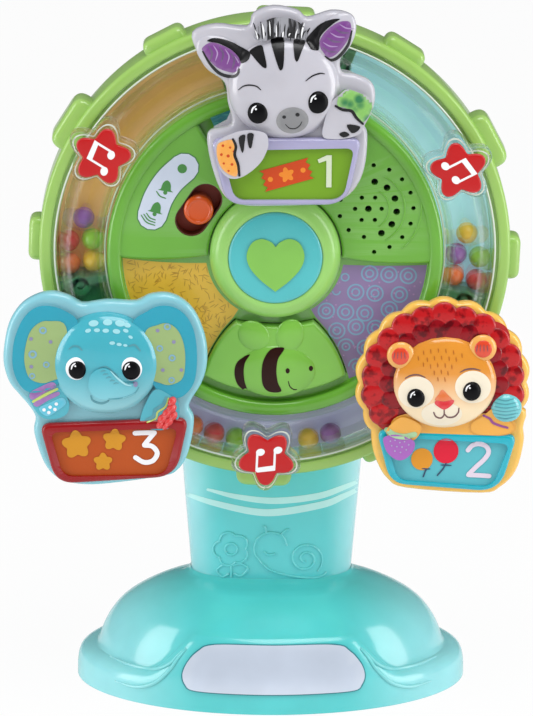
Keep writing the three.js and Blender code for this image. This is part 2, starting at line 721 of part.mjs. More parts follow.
function makeBoard() {
  const corners = rectangle(board.width, board.height, board.side, board.middle);
  const outline = roundedPolygon(corners, corners.map(() => board.corner));
  const speakerRoom = plate(circle(speaker.radius + thinWall, grille.x, grille.z), 0, hubY);
  const sheet = plate(outline, boardBackY, boardFrontY).subtract(speakerRoom);
  const light = cylinder(thinWall, boardFrontY + thinWall / 2, boardFrontY - thinWall, smallSides)
    .translate(beePad.radius + wall * 1.5, 0, beePadZ());
  const legs = [-1, 1].map((side) => (
    cylinder(wall, bayFloorY - thinWall - seatGap, boardBackY - thinWall / 2, pinSides)
      .translate(side * battery.pitch, 0, -battery.drop)));
  addPiece(drum, 'main_board', join([sheet, light, ...legs]), colours.darkGreen, 0.5);
}

function makeSpeaker() {
  const magnetY = drumFrontY + speaker.height * 0.6;
  const backY = drumFrontY + speaker.height;
  const body = turned([
    [0, drumFrontY + thinWall], [speaker.cone * 0.4, drumFrontY + thinWall], [speaker.cone, drumFrontY],
    [speaker.radius, drumFrontY], [speaker.radius, drumFrontY + thinWall], [speaker.cone, magnetY],
    [speaker.magnet, magnetY], [speaker.magnet, backY], [0, backY],
  ], roundSides).translate(grille.x, 0, grille.z);
  addPiece(drum, 'speaker', body, colours.black, 0.5);
}

function makeBeeButton() {
  const lipBackY = drumFrontY + thinWall;
  const lipLimit = cylinder(drumRadius - wall - bee.wallGap, 0, hubY, wheelSides);
  const lip = plate(bellOutline(bee.lip), lipBackY, drumFrontY).intersect(lipLimit);
  const top = roundedPlate(bellOutline(0), drumFrontY + thinWall / 2, beeFrontY, sector.round);
  const size = beeBodySize();
  const body = { x: 0, z: beeMiddle(), wide: size, tall: size * 0.72, deep: thinWall };
  const wings = [-1, 1].map((side) => ({
    x: side * size * 0.42 - thinWall, z: beeMiddle() + size * 0.9, wide: size * 0.4, tall: size * 0.4,
    deep: thinWall * 0.8,
  }));
  const bell = plate(bellOutline(0), 0, hubY);
  const raised = [body, ...wings].map((form) => ball(form, beeFrontY).intersect(bell));
  addPiece(drum, 'bee_button', join([top, lip, ...raised]), colours.green, 0.25);
}

function beePadZ() {
  return beeMiddle() + beeBodySize();
}

function makeRubberPad() {
  const frontY = drumFrontY + thinWall + bee.travel + seatGap;
  const backY = boardFrontY - seatGap;
  const body = turned([
    [0, frontY], [beePad.radius * 0.5, frontY], [beePad.radius * 0.7, backY - thinWall / 2],
    [beePad.radius, backY - thinWall / 2], [beePad.radius, backY], [0, backY],
  ], roundSides).translate(0, 0, beePadZ());
  addPiece(drum, 'bee_rubber_pad', body, colours.grey, 0.8);
}

function makeSpinSensor() {
  const drumInner = (drumRadius - wall) * Math.cos(Math.PI / wheelSides);
  const top = Math.sqrt(drumInner ** 2 - (spinSensor.width / 2) ** 2) - seatGap;
  const outline = box2d(spinSensor.width, spinSensor.height, 0, top - spinSensor.height / 2);
  addPiece(drum, 'spin_sensor', plate(outline, ringBackY, ringBackY - spinSensor.depth), colours.black, 0.4);
}

function makeWheelRim() {
  const tray = turned([
    [boreRadius, ringBackY], [wheelRadius - rimRound / 2, ringBackY], [wheelRadius, ringBackY - rimRound / 2],
    [wheelRadius, ringFrontY + rimRound], [wheelRadius - rimRound * 0.35, ringFrontY + rimRound * 0.35],
    [wheelRadius - rimRound, ringFrontY], [wheelRadius - rimWidth, ringFrontY],
    [wheelRadius - rimWidth, ledgeY], [channelOuterRadius, ledgeY], [channelOuterRadius, channelFloorY],
    [channelInnerRadius, channelFloorY], [channelInnerRadius, ledgeY], [boreRadius, ledgeY],
  ]);
  const core = cylinder(wheelRadius - rimWidth / 2, 0, ringFrontY - overrun, wheelSides);
  const lobes = [];
  for (let i = 0; i < lobeCount; i += 1) {
    lobes.push(lobe(i % 2 ? largeLobe : smallLobe, i * fullTurn / lobeCount).subtract(core));
  }
  addPiece(wheel, 'wheel_rim', join([tray, ...lobes]), colours.lime, 0.25);
}

// A grip lobe on the rim at an angle in degrees
function lobe(size, degrees) {
  const half = size.width / 2;
  const inner = wheelRadius - rimWidth;
  const outer = wheelRadius + size.reach;
  const round = size.reach * 0.8;
  const shape = new THREE.Shape().moveTo(inner, -half).lineTo(outer - round, -half);
  shape.quadraticCurveTo(outer, -half, outer, round - half).lineTo(outer, half - round);
  shape.quadraticCurveTo(outer, half, outer - round, half).lineTo(inner, half);
  const middle = (ringBackY + ringFrontY) / 2;
  const body = plate(shape, middle + size.depth / 2, middle - size.depth / 2, cornerSteps);
  return body.rotate([0, -degrees, 0]);
}

// The clear cover: an arched ring with a block for each star
function makeChamberCover() {
  const [inFoot, outFoot] = [faceRadius + seatGap * 2, channelOuterRadius + seatGap * 2];
  const [inEdge, outEdge] = [boreRadius + seatGap, wheelRadius - rimWidth - seatGap];
  const [shoulderY, hollowY] = [coverFrontY - coverCrown * 0.7, coverFrontY - coverCrown * 0.5];
  const arch = turned([
    [inEdge, coverFrontY], [inFoot, coverFrontY], [inFoot + coverStep, shoulderY], [channelMiddle, crownY],
    [outFoot - coverStep, shoulderY], [outFoot, coverFrontY], [outEdge, coverFrontY],
    [outEdge, ledgeY - seatGap], [channelOuterRadius - thinWall, ledgeY - seatGap],
    [outFoot - coverStep * 1.4, hollowY], [channelMiddle, crownY + coverArch],
    [inFoot + coverStep * 1.6, hollowY], [inFoot + thinWall, ledgeY - seatGap], [inEdge, ledgeY - seatGap],
  ]);
  const blocks = Object.values(starAngles).map((angle) => (
    plate(starOutline(star.block, angle), crownY + coverArch / 2, starSeatY)));
  const pinHoles = Object.values(animalAngles).map((angle) => {
    const [x, z] = polar(pivotRadius, angle);
    return cylinder(bracket.hub + seatGap, 0, gondolaBackY).translate(x, 0, z);
  });
  addPiece(wheel, 'chamber_cover', cut(join([arch, ...blocks]), pinHoles), colours.clear, 0.05);
}

function makeStars() {
  Object.entries(starAngles).forEach(([side, angle]) => {
    const backY = starSeatY - seatGap;
    const body = roundedPlate(starOutline(star.radius, angle), backY, backY - star.height, thinWall / 2);
    addPiece(wheel, `star_${side}`, body, colours.red, 0.3);
  });
}

// A five-pointed star with round points and notches, at an angle on the wheel, one point turned outwards
function starOutline(radius, degrees) {
  const [x, z] = polar(starPlace, degrees);
  const points = [];
  for (let i = 0; i < starSteps; i += 1) {
    const angle = i * Math.PI * 2 / starSteps;
    const swell = (1 + Math.cos(angle * 5)) / 2;
    const reach = radius * THREE.MathUtils.lerp(star.notch, 1, swell ** 0.8);
    const turn = angle + THREE.MathUtils.degToRad(degrees);
    points.push(new THREE.Vector2(x + reach * Math.cos(turn), z + reach * Math.sin(turn)));
  }
  return new THREE.Shape(points);
}

// Coloured floors of the chambers, with two shallow grooves along their length
const linerNames = { right: 'teal', left: 'orange', bottom: 'purple' };

function makeLiners() {
  const [innerEdge, outerEdge] = [channelInnerRadius + seatGap, channelOuterRadius - seatGap];
  const [highY, lowY] = [channelSeatY - wall, channelSeatY - thinWall];
  const across = (share) => THREE.MathUtils.lerp(innerEdge, outerEdge, share);
  const ring = turned([
    [innerEdge, channelSeatY], [outerEdge, channelSeatY], [outerEdge, highY], [across(0.86), lowY],
    [across(0.62), lowY], [across(0.5), highY], [across(0.38), lowY], [across(0.14), lowY],
    [innerEdge, highY],
  ]);
  Object.entries(starAngles).forEach(([side, angle]) => {
    const span = wedge(angle - chamberHalfAngle + linerEndAngle, angle + chamberHalfAngle - linerEndAngle);
    const body = ring.intersect(plate(span, 0, ringFrontY));
    addPiece(wheel, `liner_${linerNames[side]}`, body, colours[linerNames[side]], 0.4);
  });
}

// Bracket between two chambers: an arc floor, two end walls and the post that holds the pin
function makeBracket(animal, angle) {
  const [innerEdge, outerEdge] = [channelInnerRadius + seatGap, channelOuterRadius - seatGap];
  const arc = (frontY, from, to) => turned([
    [innerEdge, channelSeatY], [outerEdge, channelSeatY], [outerEdge, frontY], [innerEdge, frontY],
  ]).intersect(plate(wedge(angle + from, angle + to), 0, ringFrontY - overrun));
  const floorPart = arc(channelSeatY - bracket.floor, -bracket.halfAngle, bracket.halfAngle);
  const near = bracket.halfAngle - bracket.wallAngle;
  const walls = [arc(ledgeY, -bracket.halfAngle, -near), arc(ledgeY, near, bracket.halfAngle)];
  const screwPosts = [-near, near].map((offset) => {
    const [x, z] = polar(channelMiddle + wall, angle + offset);
    return cylinder(bracket.post, channelSeatY, ledgeY, smallSides).translate(x, 0, z);
  });
  const [pinX, pinZ] = polar(pivotRadius, angle);
  const post = cylinder(bracket.hub, channelSeatY, gondolaBackY + overrun * 2).translate(pinX, 0, pinZ);
  const bore = cylinder(pin.radius + seatGap, 0, gondolaBackY, pinSides).translate(pinX, 0, pinZ);
  const faceRoom = cylinder(faceRadius + runningGap, ledgeY, gondolaBackY, wheelSides);
  const body = cut(join([floorPart, ...walls, ...screwPosts, post]), [bore, faceRoom]);
  addPiece(wheel, `bracket_${animal}`, body, colours.darkGreen, 0.4);
}

// Beads in each chamber: the row between the inner (0) and the outer (1), and how far along the arc from the
// chamber's lower end, or from its middle, in bead radii
const beadShares = {
  right: { orange: [0, 1.07], red: [1, 1.13], purple: [0, 3.14], green: [1, 3.32], yellow: [0.45, 5.34] },
  left: { orange: [1, 1.13], yellow: [0, 1.07], red: [1, 3.32], green: [0, 3.14], purple: [0.45, 5.34] },
  bottom: { orange: [1, -6.98], red: [1, -4.86], green: [1, -2.73], yellow: [1, 4.06], purple: [1, 6.19] },
};

// Angle of a bead's middle on the wheel, in degrees
function beadAngle(side, radius, share) {
  const along = THREE.MathUtils.radToDeg(share * beadRadius / radius);
  const starts = {
    right: starAngles.right - chamberHalfAngle + along,
    left: starAngles.left + chamberHalfAngle - along,
    bottom: starAngles.bottom + along,
  };
  return starts[side];
}

function makeBeads() {
  Object.entries(beadShares).forEach(([side, places]) => {
    Object.entries(places).forEach(([colour, [row, share]]) => {
      const radius = THREE.MathUtils.lerp(beadInnerRadius, beadOuterRadius, row);
      const [x, z] = polar(radius, beadAngle(side, radius, share));
      const bead = solid(new THREE.SphereGeometry(beadRadius, ballSides, ballSides / 2 + 1));
      addPiece(wheel, `bead_${side}_${colour}`, bead.translate(x, beadY, z), colours[colour], 0.2);
    });
  });
}

// Outlines of the figures, as shares of the figure size from the pivot
const zebraShares = [
  [-0.643, 0.265], [-0.48, 0.327], [-0.268, 0.308], [-0.222, 0.385], [-0.087, 0.425], [0.08, 0.385],
  [0.148, 0.357], [0.308, 0.417], [0.428, 0.405], [0.482, 0.342], [0.445, 0.19], [0.383, 0.083],
  [0.392, -0.007], [0.475, -0.023], [0.58, -0.068], [0.623, -0.143], [0.612, -0.265], [0.55, -0.372],
  [0.573, -0.447], [0.565, -0.643], [0.52, -0.795], [0.428, -0.902], [0.278, -0.952], [-0.063, -0.965],
  [-0.253, -0.965], [-0.373, -0.932], [-0.45, -0.84], [-0.51, -0.658], [-0.538, -0.492], [-0.51, -0.423],
  [-0.373, -0.378], [-0.397, -0.22], [-0.42, -0.083], [-0.54, 0.008], [-0.602, 0.113],
];
const elephantShares = [
  [0.045, 0.378], [-0.13, 0.355], [-0.222, 0.408], [-0.342, 0.438], [-0.463, 0.408], [-0.568, 0.332],
  [-0.645, 0.203], [-0.682, 0.022], [-0.682, -0.1], [-0.645, -0.222], [-0.577, -0.312], [-0.515, -0.388],
  [-0.463, -0.478], [-0.475, -0.585], [-0.432, -0.752], [-0.372, -0.872], [-0.28, -0.948], [-0.145, -0.978],
  [0.045, -0.972], [0.432, -0.918], [0.537, -0.872], [0.605, -0.767], [0.643, -0.615], [0.653, -0.478],
  [0.62, -0.388], [0.703, -0.237], [0.742, -0.115], [0.747, 0.022], [0.72, 0.158], [0.658, 0.295],
  [0.568, 0.385], [0.462, 0.428], [0.34, 0.415], [0.25, 0.37],
];
const lionBodyShares = [
  [-0.49, -0.3], [-0.49, -0.43], [-0.482, -0.582], [-0.443, -0.718], [-0.368, -0.84], [-0.232, -0.908],
  [0.298, -0.947], [0.435, -0.9], [0.542, -0.78], [0.593, -0.582], [0.587, -0.462], [0.56, -0.3],
];
const mane = { x: 0.01, z: -0.127, radius: 0.593, lobe: 0.025, count: 18 };

// The lion's mane: a circle with round scallops
function maneOutline() {
  const points = [];
  const steps = mane.count * 2;
  for (let i = 0; i < steps; i += 1) {
    const angle = i * Math.PI * 2 / steps;
    const reach = mane.radius + mane.lobe * Math.abs(Math.sin(angle * mane.count / 2));
    const point = new THREE.Vector2(mane.x + reach * Math.cos(angle), mane.z + reach * Math.sin(angle));
    points.push(point.multiplyScalar(figureSize));
  }
  return new THREE.Shape(points);
}

// Raised parts of each figure and its basket's corners, as shares of the figure size from the pivot
const figureShares = {
  zebra: {
    colour: colours.white, basketColour: colours.purple,
    outlines: () => [smoothOutline(zebraShares, figureSize, outlineSteps)],
    head: { x: -0.022, z: -0.065, wide: 0.375, tall: 0.358, deep: 0.117 },
    features: [
      { x: 0.053, z: -0.327, wide: 0.117, tall: 0.1, deep: 0.15 },
      { x: -0.442, z: 0.143, wide: 0.175, tall: 0.1, deep: 0.05, turn: -38 },
      { x: 0.31, z: 0.24, wide: 0.175, tall: 0.1, deep: 0.05, turn: 52 },
      { x: -0.057, z: 0.307, wide: 0.15, tall: 0.083, deep: 0.057 },
    ],
    arms: [
      { x: -0.34, z: -0.533, wide: 0.163, tall: 0.123, deep: 0.11, turn: 62 },
      { x: 0.475, z: -0.223, wide: 0.16, tall: 0.103, deep: 0.083, turn: 52 },
    ],
    basket: [[-0.497, -0.465], [0.537, -0.448], [0.437, -0.923], [-0.397, -0.932]],
  },
  elephant: {
    colour: colours.skyBlue, basketColour: colours.red,
    outlines: () => [smoothOutline(elephantShares, figureSize, outlineSteps)],
    head: { x: 0.037, z: -0.08, wide: 0.382, tall: 0.367, deep: 0.133 },
    features: [
      { x: -0.433, z: 0.025, wide: 0.2, tall: 0.317, deep: 0.043, turn: 8 },
      { x: 0.5, z: 0.05, wide: 0.2, tall: 0.3, deep: 0.043, turn: -8 },
      { x: 0.042, z: -0.283, wide: 0.15, tall: 0.083, deep: 0.16, turn: 12 },
    ],
    arms: [
      { x: -0.358, z: -0.375, wide: 0.14, tall: 0.087, deep: 0.073, turn: 52 },
      { x: 0.458, z: -0.427, wide: 0.15, tall: 0.087, deep: 0.09, turn: 48 },
    ],
    basket: [[-0.43, -0.513], [0.62, -0.463], [0.528, -0.888], [-0.322, -0.947]],
  },
  lion: {
    colour: colours.yellow, basketColour: colours.skyBlue,
    outlines: () => [maneOutline(), smoothOutline(lionBodyShares, figureSize, outlineSteps / 2)],
    head: { x: 0.028, z: -0.128, wide: 0.358, tall: 0.323, deep: 0.133 },
    features: [
      { x: mane.x, z: mane.z, wide: 0.533, tall: 0.517, deep: 0.053 },
      { x: -0.283, z: 0.08, wide: 0.095, tall: 0.095, deep: 0.073 },
      { x: 0.283, z: 0.133, wide: 0.092, tall: 0.092, deep: 0.073 },
      { x: 0.02, z: -0.3, wide: 0.143, tall: 0.093, deep: 0.147 },
    ],
    arms: [
      { x: -0.29, z: -0.55, wide: 0.12, tall: 0.103, deep: 0.09 },
      { x: 0.467, z: -0.317, wide: 0.11, tall: 0.11, deep: 0.073 },
    ],
    basket: [[-0.448, -0.442], [0.538, -0.483], [0.417, -0.908], [-0.342, -0.843]],
  },
};

// A raised part in real sizes; its turn stays in degrees
function sized({ turn = 0, ...shares }) {
  return { ...scaled(shares, figureSize), turn };
}

// The raised forms of a figure: its head, its features and its arms
function raisedParts(figure) {
  const head = { ...sized(figure.head), sides: headSides };
  return [head, ...figure.features.map(sized), ...figure.arms.map(sized)];
}

function makeFigure(group, animal, outlines, forms) {
  const border = join(outlines.map((shape) => (
    roundedPlate(shape, figureBackY, figureFrontY, figurePlate.round))));
  const front = slab(figureFrontY - wheelRadius, figureBackY - seatGap);
  const raised = forms.map((part) => ball(part, figureFrontY).intersect(front));
  const pocket = cylinder(pinPocket.radius, figureBackY + overrun, figureBackY - pinPocket.depth);
  const body = join([border, ...raised]).subtract(pocket);
  addPiece(group, `${animal}_figure`, body, figureShares[animal].colour, 0.25);
}

function makeBasket(group, animal, forms) {
  const corners = figureShares[animal].basket.map((corner) => corner.map((share) => share * figureSize));
  const backY = figureFrontY - seatGap;
  const figureRoom = forms.map((part) => ball(part, figureFrontY, seatGap * 2));
  const frame = roundedPlate(roundedPolygon(corners, basketRadii), backY, backY - basketRise.frame,
    basketRise.round);
  const fieldCorners = corners.map(([x, z]) => [
    x * (1 - basketField.narrower), THREE.MathUtils.lerp(z, -basketField.drop, basketField.lower),
  ]);
  const fieldRadii = basketRadii.map((radius) => radius * basketField.corner);
  const field = plate(roundedPolygon(fieldCorners, fieldRadii), backY - basketRise.field,
    backY - basketRise.frame - overrun);
  const body = cut(frame, [field, ...figureRoom]);
  addPiece(group, `${animal}_basket`, body, figureShares[animal].basketColour, 0.25);
}

function makeBackCover(group, animal, outlines) {
  const shrink = 1 - backCover.inset * 2 / figureSize;
  const sheets = outlines.map((shape) => {
    const points = shape.getPoints(smallSides).map((point) => point.clone().multiplyScalar(shrink));
    return plate(new THREE.Shape(points), gondolaBackY, backCoverFrontY);
  });
  const pinHole = cylinder(pin.radius + seatGap, gondolaBackY + overrun, backCoverFrontY - overrun, pinSides);
  addPiece(group, `${animal}_back_cover`, join(sheets).subtract(pinHole), figureShares[animal].colour, 0.4);
}

// The pin is fixed in its bracket; its head holds the figure
function makePin(animal, angle) {
  const [x, z] = polar(pivotRadius, angle);
  const headBackY = figureBackY - seatGap;
  const collarY = gondolaBackY + seatGap;
  const body = join([
    cylinder(pin.radius, channelSeatY - seatGap, headBackY - pin.headHeight / 2, pinSides),
    cylinder(pin.head, headBackY, headBackY - pin.headHeight, pinSides),
    cylinder(pin.collar, collarY + thinWall, collarY, pinSides),
  ]);
  addPiece(wheel, `${animal}_pin`, body.translate(x, 0, z), colours.white, 0.35);
}

function makeGondola(animal, angle) {
  const [x, z] = polar(pivotRadius, angle);
  const group = new THREE.Group();
  group.position.set(x, 0, z);
  group.rotation.y = -restTurn;
  wheel.add(group);
  const outlines = figureShares[animal].outlines();
  const forms = raisedParts(figureShares[animal]);
  makeFigure(group, animal, outlines, forms);
  makeBasket(group, animal, forms);
  makeBackCover(group, animal, outlines);
  makePin(animal, angle);
}

makeBaseShell();
makeBaseCover();
makeSuctionCup();
makeLabelPlate();
makeNeck();
makeHousing();
makeBatteryDoor();
makeBatteries();
makeFacePlate();
makeHub();
makeVolumeKnob();
makeVolumeSwitch();
makeBoard();
makeSpeaker();
makeBeeButton();
makeRubberPad();
makeSpinSensor();
makeWheelRim();
makeChamberCover();
makeStars();
makeLiners();
makeBeads();
Object.entries(animalAngles).forEach(([animal, angle]) => {
  makeBracket(animal, angle);
  makeGondola(animal, angle);
});

export default root;
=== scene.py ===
import json
import math
import bpy
import bmesh
from mathutils import Matrix, Vector
from mathutils.bvhtree import BVHTree

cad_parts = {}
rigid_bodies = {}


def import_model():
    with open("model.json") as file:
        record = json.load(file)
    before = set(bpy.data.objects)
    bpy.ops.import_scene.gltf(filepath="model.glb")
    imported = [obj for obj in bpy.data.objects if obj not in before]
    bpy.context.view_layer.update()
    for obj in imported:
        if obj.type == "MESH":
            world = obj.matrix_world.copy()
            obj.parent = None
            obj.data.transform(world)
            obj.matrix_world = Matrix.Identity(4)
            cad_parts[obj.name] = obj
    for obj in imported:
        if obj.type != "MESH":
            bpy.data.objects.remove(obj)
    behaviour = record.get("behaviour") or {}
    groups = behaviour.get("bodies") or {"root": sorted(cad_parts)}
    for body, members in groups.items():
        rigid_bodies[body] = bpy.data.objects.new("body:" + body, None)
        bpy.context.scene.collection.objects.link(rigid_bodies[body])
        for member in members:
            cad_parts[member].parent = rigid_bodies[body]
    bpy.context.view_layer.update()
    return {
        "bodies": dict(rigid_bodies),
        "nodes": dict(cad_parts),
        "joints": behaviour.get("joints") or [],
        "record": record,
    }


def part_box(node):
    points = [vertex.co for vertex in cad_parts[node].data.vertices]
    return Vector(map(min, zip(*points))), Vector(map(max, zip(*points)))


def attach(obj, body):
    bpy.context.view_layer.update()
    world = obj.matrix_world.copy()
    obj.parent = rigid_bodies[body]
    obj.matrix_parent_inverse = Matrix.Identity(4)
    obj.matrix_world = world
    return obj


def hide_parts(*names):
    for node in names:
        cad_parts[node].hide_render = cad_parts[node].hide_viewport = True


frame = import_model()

mm = 0.001                                    # lengths below are in millimetres
animals = ("zebra", "elephant", "lion")
chambers = ("right", "left", "bottom")


def jointPlace(name):
    joint = next(j for j in frame["joints"] if j["name"] == name)
    x, y, z = joint["pos_m"]
    return x / mm, z / mm


axisX, axisZ = jointPlace("wheel_spin")
pivots = {animal: jointPlace(animal + "_swing") for animal in animals}
# the wheel rests a little clockwise
restTurn = math.atan2(pivots["zebra"][0], pivots["zebra"][1] - axisZ)


# The camera stands where the photograph was taken from
camera = {"distance": 2000, "elevation": 16.576, "azimuth": -1.077, "roll": 0.354,
          "aimX": -2.676, "aimZ": 144.173, "focal": 4606.9, "imageWidth": 533, "sensor": 36}


def cameraAxes():
    rise, swing, roll = (math.radians(camera[key]) for key in ("elevation", "azimuth", "roll"))
    back = Vector((math.sin(swing) * math.cos(rise), -math.cos(swing) * math.cos(rise), math.sin(rise)))
    right = Vector((math.cos(swing), math.sin(swing), 0))
    up = back.cross(right)
    turnedRight = right * math.cos(roll) + up * math.sin(roll)
    turnedUp = up * math.cos(roll) - right * math.sin(roll)
    return turnedRight, turnedUp, back


def cameraPlace():
    aim = Vector((camera["aimX"], 0, camera["aimZ"]))
    return (aim + cameraAxes()[2] * camera["distance"]) * mm


def makeCamera():
    data = bpy.data.cameras.new("photoCamera")
    data.sensor_fit = "HORIZONTAL"
    data.sensor_width = camera["sensor"]
    data.lens = camera["focal"] * camera["sensor"] / camera["imageWidth"]
    data.clip_end = 20
    holder = bpy.data.objects.new("photoCamera", data)
    right, up, back = cameraAxes()
    turn = Matrix((right, up, back)).transposed().to_4x4()
    holder.matrix_world = Matrix.Translation(cameraPlace()) @ turn
    bpy.context.scene.collection.objects.link(holder)
    bpy.context.scene.camera = holder


makeCamera()
bpy.context.scene.view_settings.view_transform = "Standard"
print("camera placed")


# Outlines are lists of (x, z) points in millimetres, seen from the front
def turnedOutline(outline, x, z, degrees):
    c, s = math.cos(math.radians(degrees)), math.sin(math.radians(degrees))
    return [(x + u * c - v * s, z + u * s + v * c) for u, v in outline]


def shifted(outline, dx, dz):
    return [(x + dx, z + dz) for x, z in outline]


def polar(radius, degrees):
    angle = math.radians(degrees)
    return radius * math.cos(angle), radius * math.sin(angle)


def arcPoints(radius, start, end, steps=24):
    return [polar(radius, start + (end - start) * k / steps) for k in range(steps + 1)]


# A point between b and c of the smooth line through a, b, c and d
def splinePoint(a, b, c, d, t):
    bend, twist = 2 * a - 5 * b + 4 * c - d, 3 * b - a - 3 * c + d
    return 0.5 * (2 * b + (c - a) * t + bend * t * t + twist * t ** 3)


def quadCurve(a, b, c, steps=16):
    return [tuple(Vector(a) * (1 - t) ** 2 + Vector(b) * 2 * t * (1 - t) + Vector(c) * t * t)
            for t in (k / steps for k in range(steps + 1))]


def ring(x, z, radius, points=48, squash=1.0, turn=0.0):
    angles = [math.tau * i / points for i in range(points)]
    outline = [(radius * math.cos(a), radius * squash * math.sin(a)) for a in angles]
    return turnedOutline(outline, x, z, turn)


def smoothLoop(knots, steps=6):
    out = []
    for i in range(len(knots)):
        a, b, c, d = (Vector(knots[(i + k) % len(knots)]) for k in (-1, 0, 1, 2))
        out += [tuple(splinePoint(a, b, c, d, k / steps)) for k in range(steps)]
    return out


def smoothPath(knots, steps=6):
    before, after = 2 * Vector(knots[0]) - Vector(knots[1]), 2 * Vector(knots[-1]) - Vector(knots[-2])
    line = [before, *(Vector(knot) for knot in knots), after]
    out = []
    for i in range(1, len(line) - 2):
        out += [splinePoint(*line[i - 1:i + 3], k / steps) for k in range(steps)]
    return out + [line[-2]]


# A stroke of a brush along a path: round at both ends, or drawn thin where taper is below 1
def stroke(knots, width, taper=1.0, steps=6):
    if len(knots) > 2:
        path = smoothPath(knots, steps)
    else:
        path = [Vector(knots[0]).lerp(Vector(knots[1]), t / 6) for t in range(7)]
    left, right = [], []
    for i, point in enumerate(path):
        ahead = (path[min(i + 1, len(path) - 1)] - path[max(i - 1, 0)]).normalized()
        side = Vector((-ahead.y, ahead.x))
        share = abs(2 * i / (len(path) - 1) - 1)
        half = width / 2 * (1 - (1 - taper) * share ** 2)
        left.append(tuple(point + side * half))
        right.append(tuple(point - side * half))
    caps = []
    for end, before in ((path[-1], path[-2]), (path[0], path[1])):
        ahead = (end - before).normalized()
        start = math.atan2(ahead.y, ahead.x)
        half = width / 2 * taper
        caps.append([(end.x + half * math.cos(start + a), end.y + half * math.sin(start + a))
                     for a in (-math.pi / 3, -math.pi / 6, 0, math.pi / 6, math.pi / 3)])
    return right + caps[0] + left[::-1] + caps[1]


def roundedCorners(corners, radii, steps=8):
    out = []
    for i, corner in enumerate(corners):
        here = Vector(corner)
        before = (Vector(corners[i - 1]) - here).normalized()
        after = (Vector(corners[(i + 1) % len(corners)]) - here).normalized()
        reach = radii[i] / math.tan(before.angle(after) / 2)
        out += quadCurve(here + before * reach, here, here + after * reach, steps)
    return out


def stadiumLoop(x, z, halfLength, radius, slope=0.0, points=14):
    out = []
    for side, first in ((1, 0), (-1, math.pi)):
        for k in range(points + 1):
            angle = -math.pi / 2 + math.pi * k / points + first
            out.append((side * halfLength + radius * math.cos(angle), radius * math.sin(angle)))
    return turnedOutline(out, x, z, slope)


def starLoop(x, z, radius, notch=0.66, turn=90.0, points=60, pointCount=5):
    out = []
    for i in range(points):
        angle = math.tau * i / points
        swell = (1 + math.cos(angle * pointCount)) / 2
        reach = radius * (notch + (1 - notch) * swell ** 0.8)
        angle += math.radians(turn)
        out.append((x + reach * math.cos(angle), z + reach * math.sin(angle)))
    return out


# Makes an object of a mesh: smooth faces, sharp edges past an angle, a finish, and the body that carries it
def asPiece(name, mesh, finish, body, sharpAngle=35, replaces=None):
    for face in mesh.polygons:
        face.use_smooth = True
    mesh.set_sharp_from_angle(angle=math.radians(sharpAngle))
    mesh.materials.clear()
    mesh.materials.append(finishes[finish])
    piece = bpy.data.objects.new(name, mesh)
    bpy.context.scene.collection.objects.link(piece)
    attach(piece, body)
    if replaces:
        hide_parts(replaces)
    return piece


def addWall(piece, thickness):
    wall = piece.modifiers.new("wall", "SOLIDIFY")
    wall.thickness, wall.offset = thickness * mm, -1


def toMesh(bm, name):
    mesh = bpy.data.meshes.new(name)
    bm.to_mesh(mesh)
    bm.free()
    return mesh


def finished(bm, name, mergeWithin=0.002):
    bmesh.ops.remove_doubles(bm, verts=bm.verts[:], dist=mergeWithin * mm)
    bmesh.ops.recalc_face_normals(bm, faces=bm.faces[:])
    return toMesh(bm, name)


# The mesh that a curve makes, ready for more work
def meshedCurve(curve, place=Matrix()):
    maker = bpy.data.objects.new(curve.name, curve)
    mesh = bpy.data.meshes.new_from_object(maker)
    mesh.transform(place)
    bm = bmesh.new()
    bm.from_mesh(mesh)
    bpy.data.objects.remove(maker)
    bpy.data.curves.remove(curve)
    bpy.data.meshes.remove(mesh)
    return bm


# A plate cut to outlines, from y = back to y = front, with both edges rounded
def plateMesh(name, outlines, back, front, rounding=0.0, steps=3):
    curve = bpy.data.curves.new(name, "CURVE")
    curve.dimensions = "2D"
    curve.fill_mode = "BOTH"
    curve.extrude = max((back - front) / 2 - rounding, 0) * mm
    curve.bevel_depth = rounding * mm
    curve.bevel_resolution = steps
    curve.offset = -rounding * mm
    for outline in outlines:
        spline = curve.splines.new("POLY")
        spline.points.add(len(outline) - 1)
        for point, (x, z) in zip(spline.points, outline):
            point.co = (x * mm, z * mm, 0, 1)
        spline.use_cyclic_u = True
    place = Matrix.Translation((0, (back + front) / 2 * mm, 0)) @ Matrix.Rotation(math.pi / 2, 4, "X")
    return finished(meshedCurve(curve, place), name)


# A closed profile of (radius, y) spun about the wheel's axis, or about another line along Y
def spunMesh(name, profile, sides=128, x=0.0, z=None, closed=True):
    z = axisZ if z is None else z
    bm = bmesh.new()
    verts = [bm.verts.new(((x + radius) * mm, y * mm, z * mm)) for radius, y in profile]
    edges = [bm.edges.new(pair) for pair in zip(verts, verts[1:])]
    if closed:
        edges.append(bm.edges.new((verts[-1], verts[0])))
    bmesh.ops.spin(bm, geom=verts + edges, cent=(x * mm, 0, z * mm), axis=(0, 1, 0), angle=math.tau,
                   steps=sides, use_merge=True, use_duplicate=False)
    return finished(bm, name)


# Rounds the corners of a profile; each entry is (radius, y, rounding)
def roundedProfile(points, steps=5):
    corners = [(p[0], p[1]) for p in points]
    out = []
    for i, point in enumerate(points):
        rounding = point[2] if len(point) > 2 else 0
        if rounding == 0:
            out.append(corners[i])
            continue
        here = Vector(corners[i])
        before, after = Vector(corners[i - 1]) - here, Vector(corners[(i + 1) % len(corners)]) - here
        reach = min(rounding, before.length * 0.49, after.length * 0.49)
        out += quadCurve(here + before.normalized() * reach, here, here + after.normalized() * reach, steps)
    return out


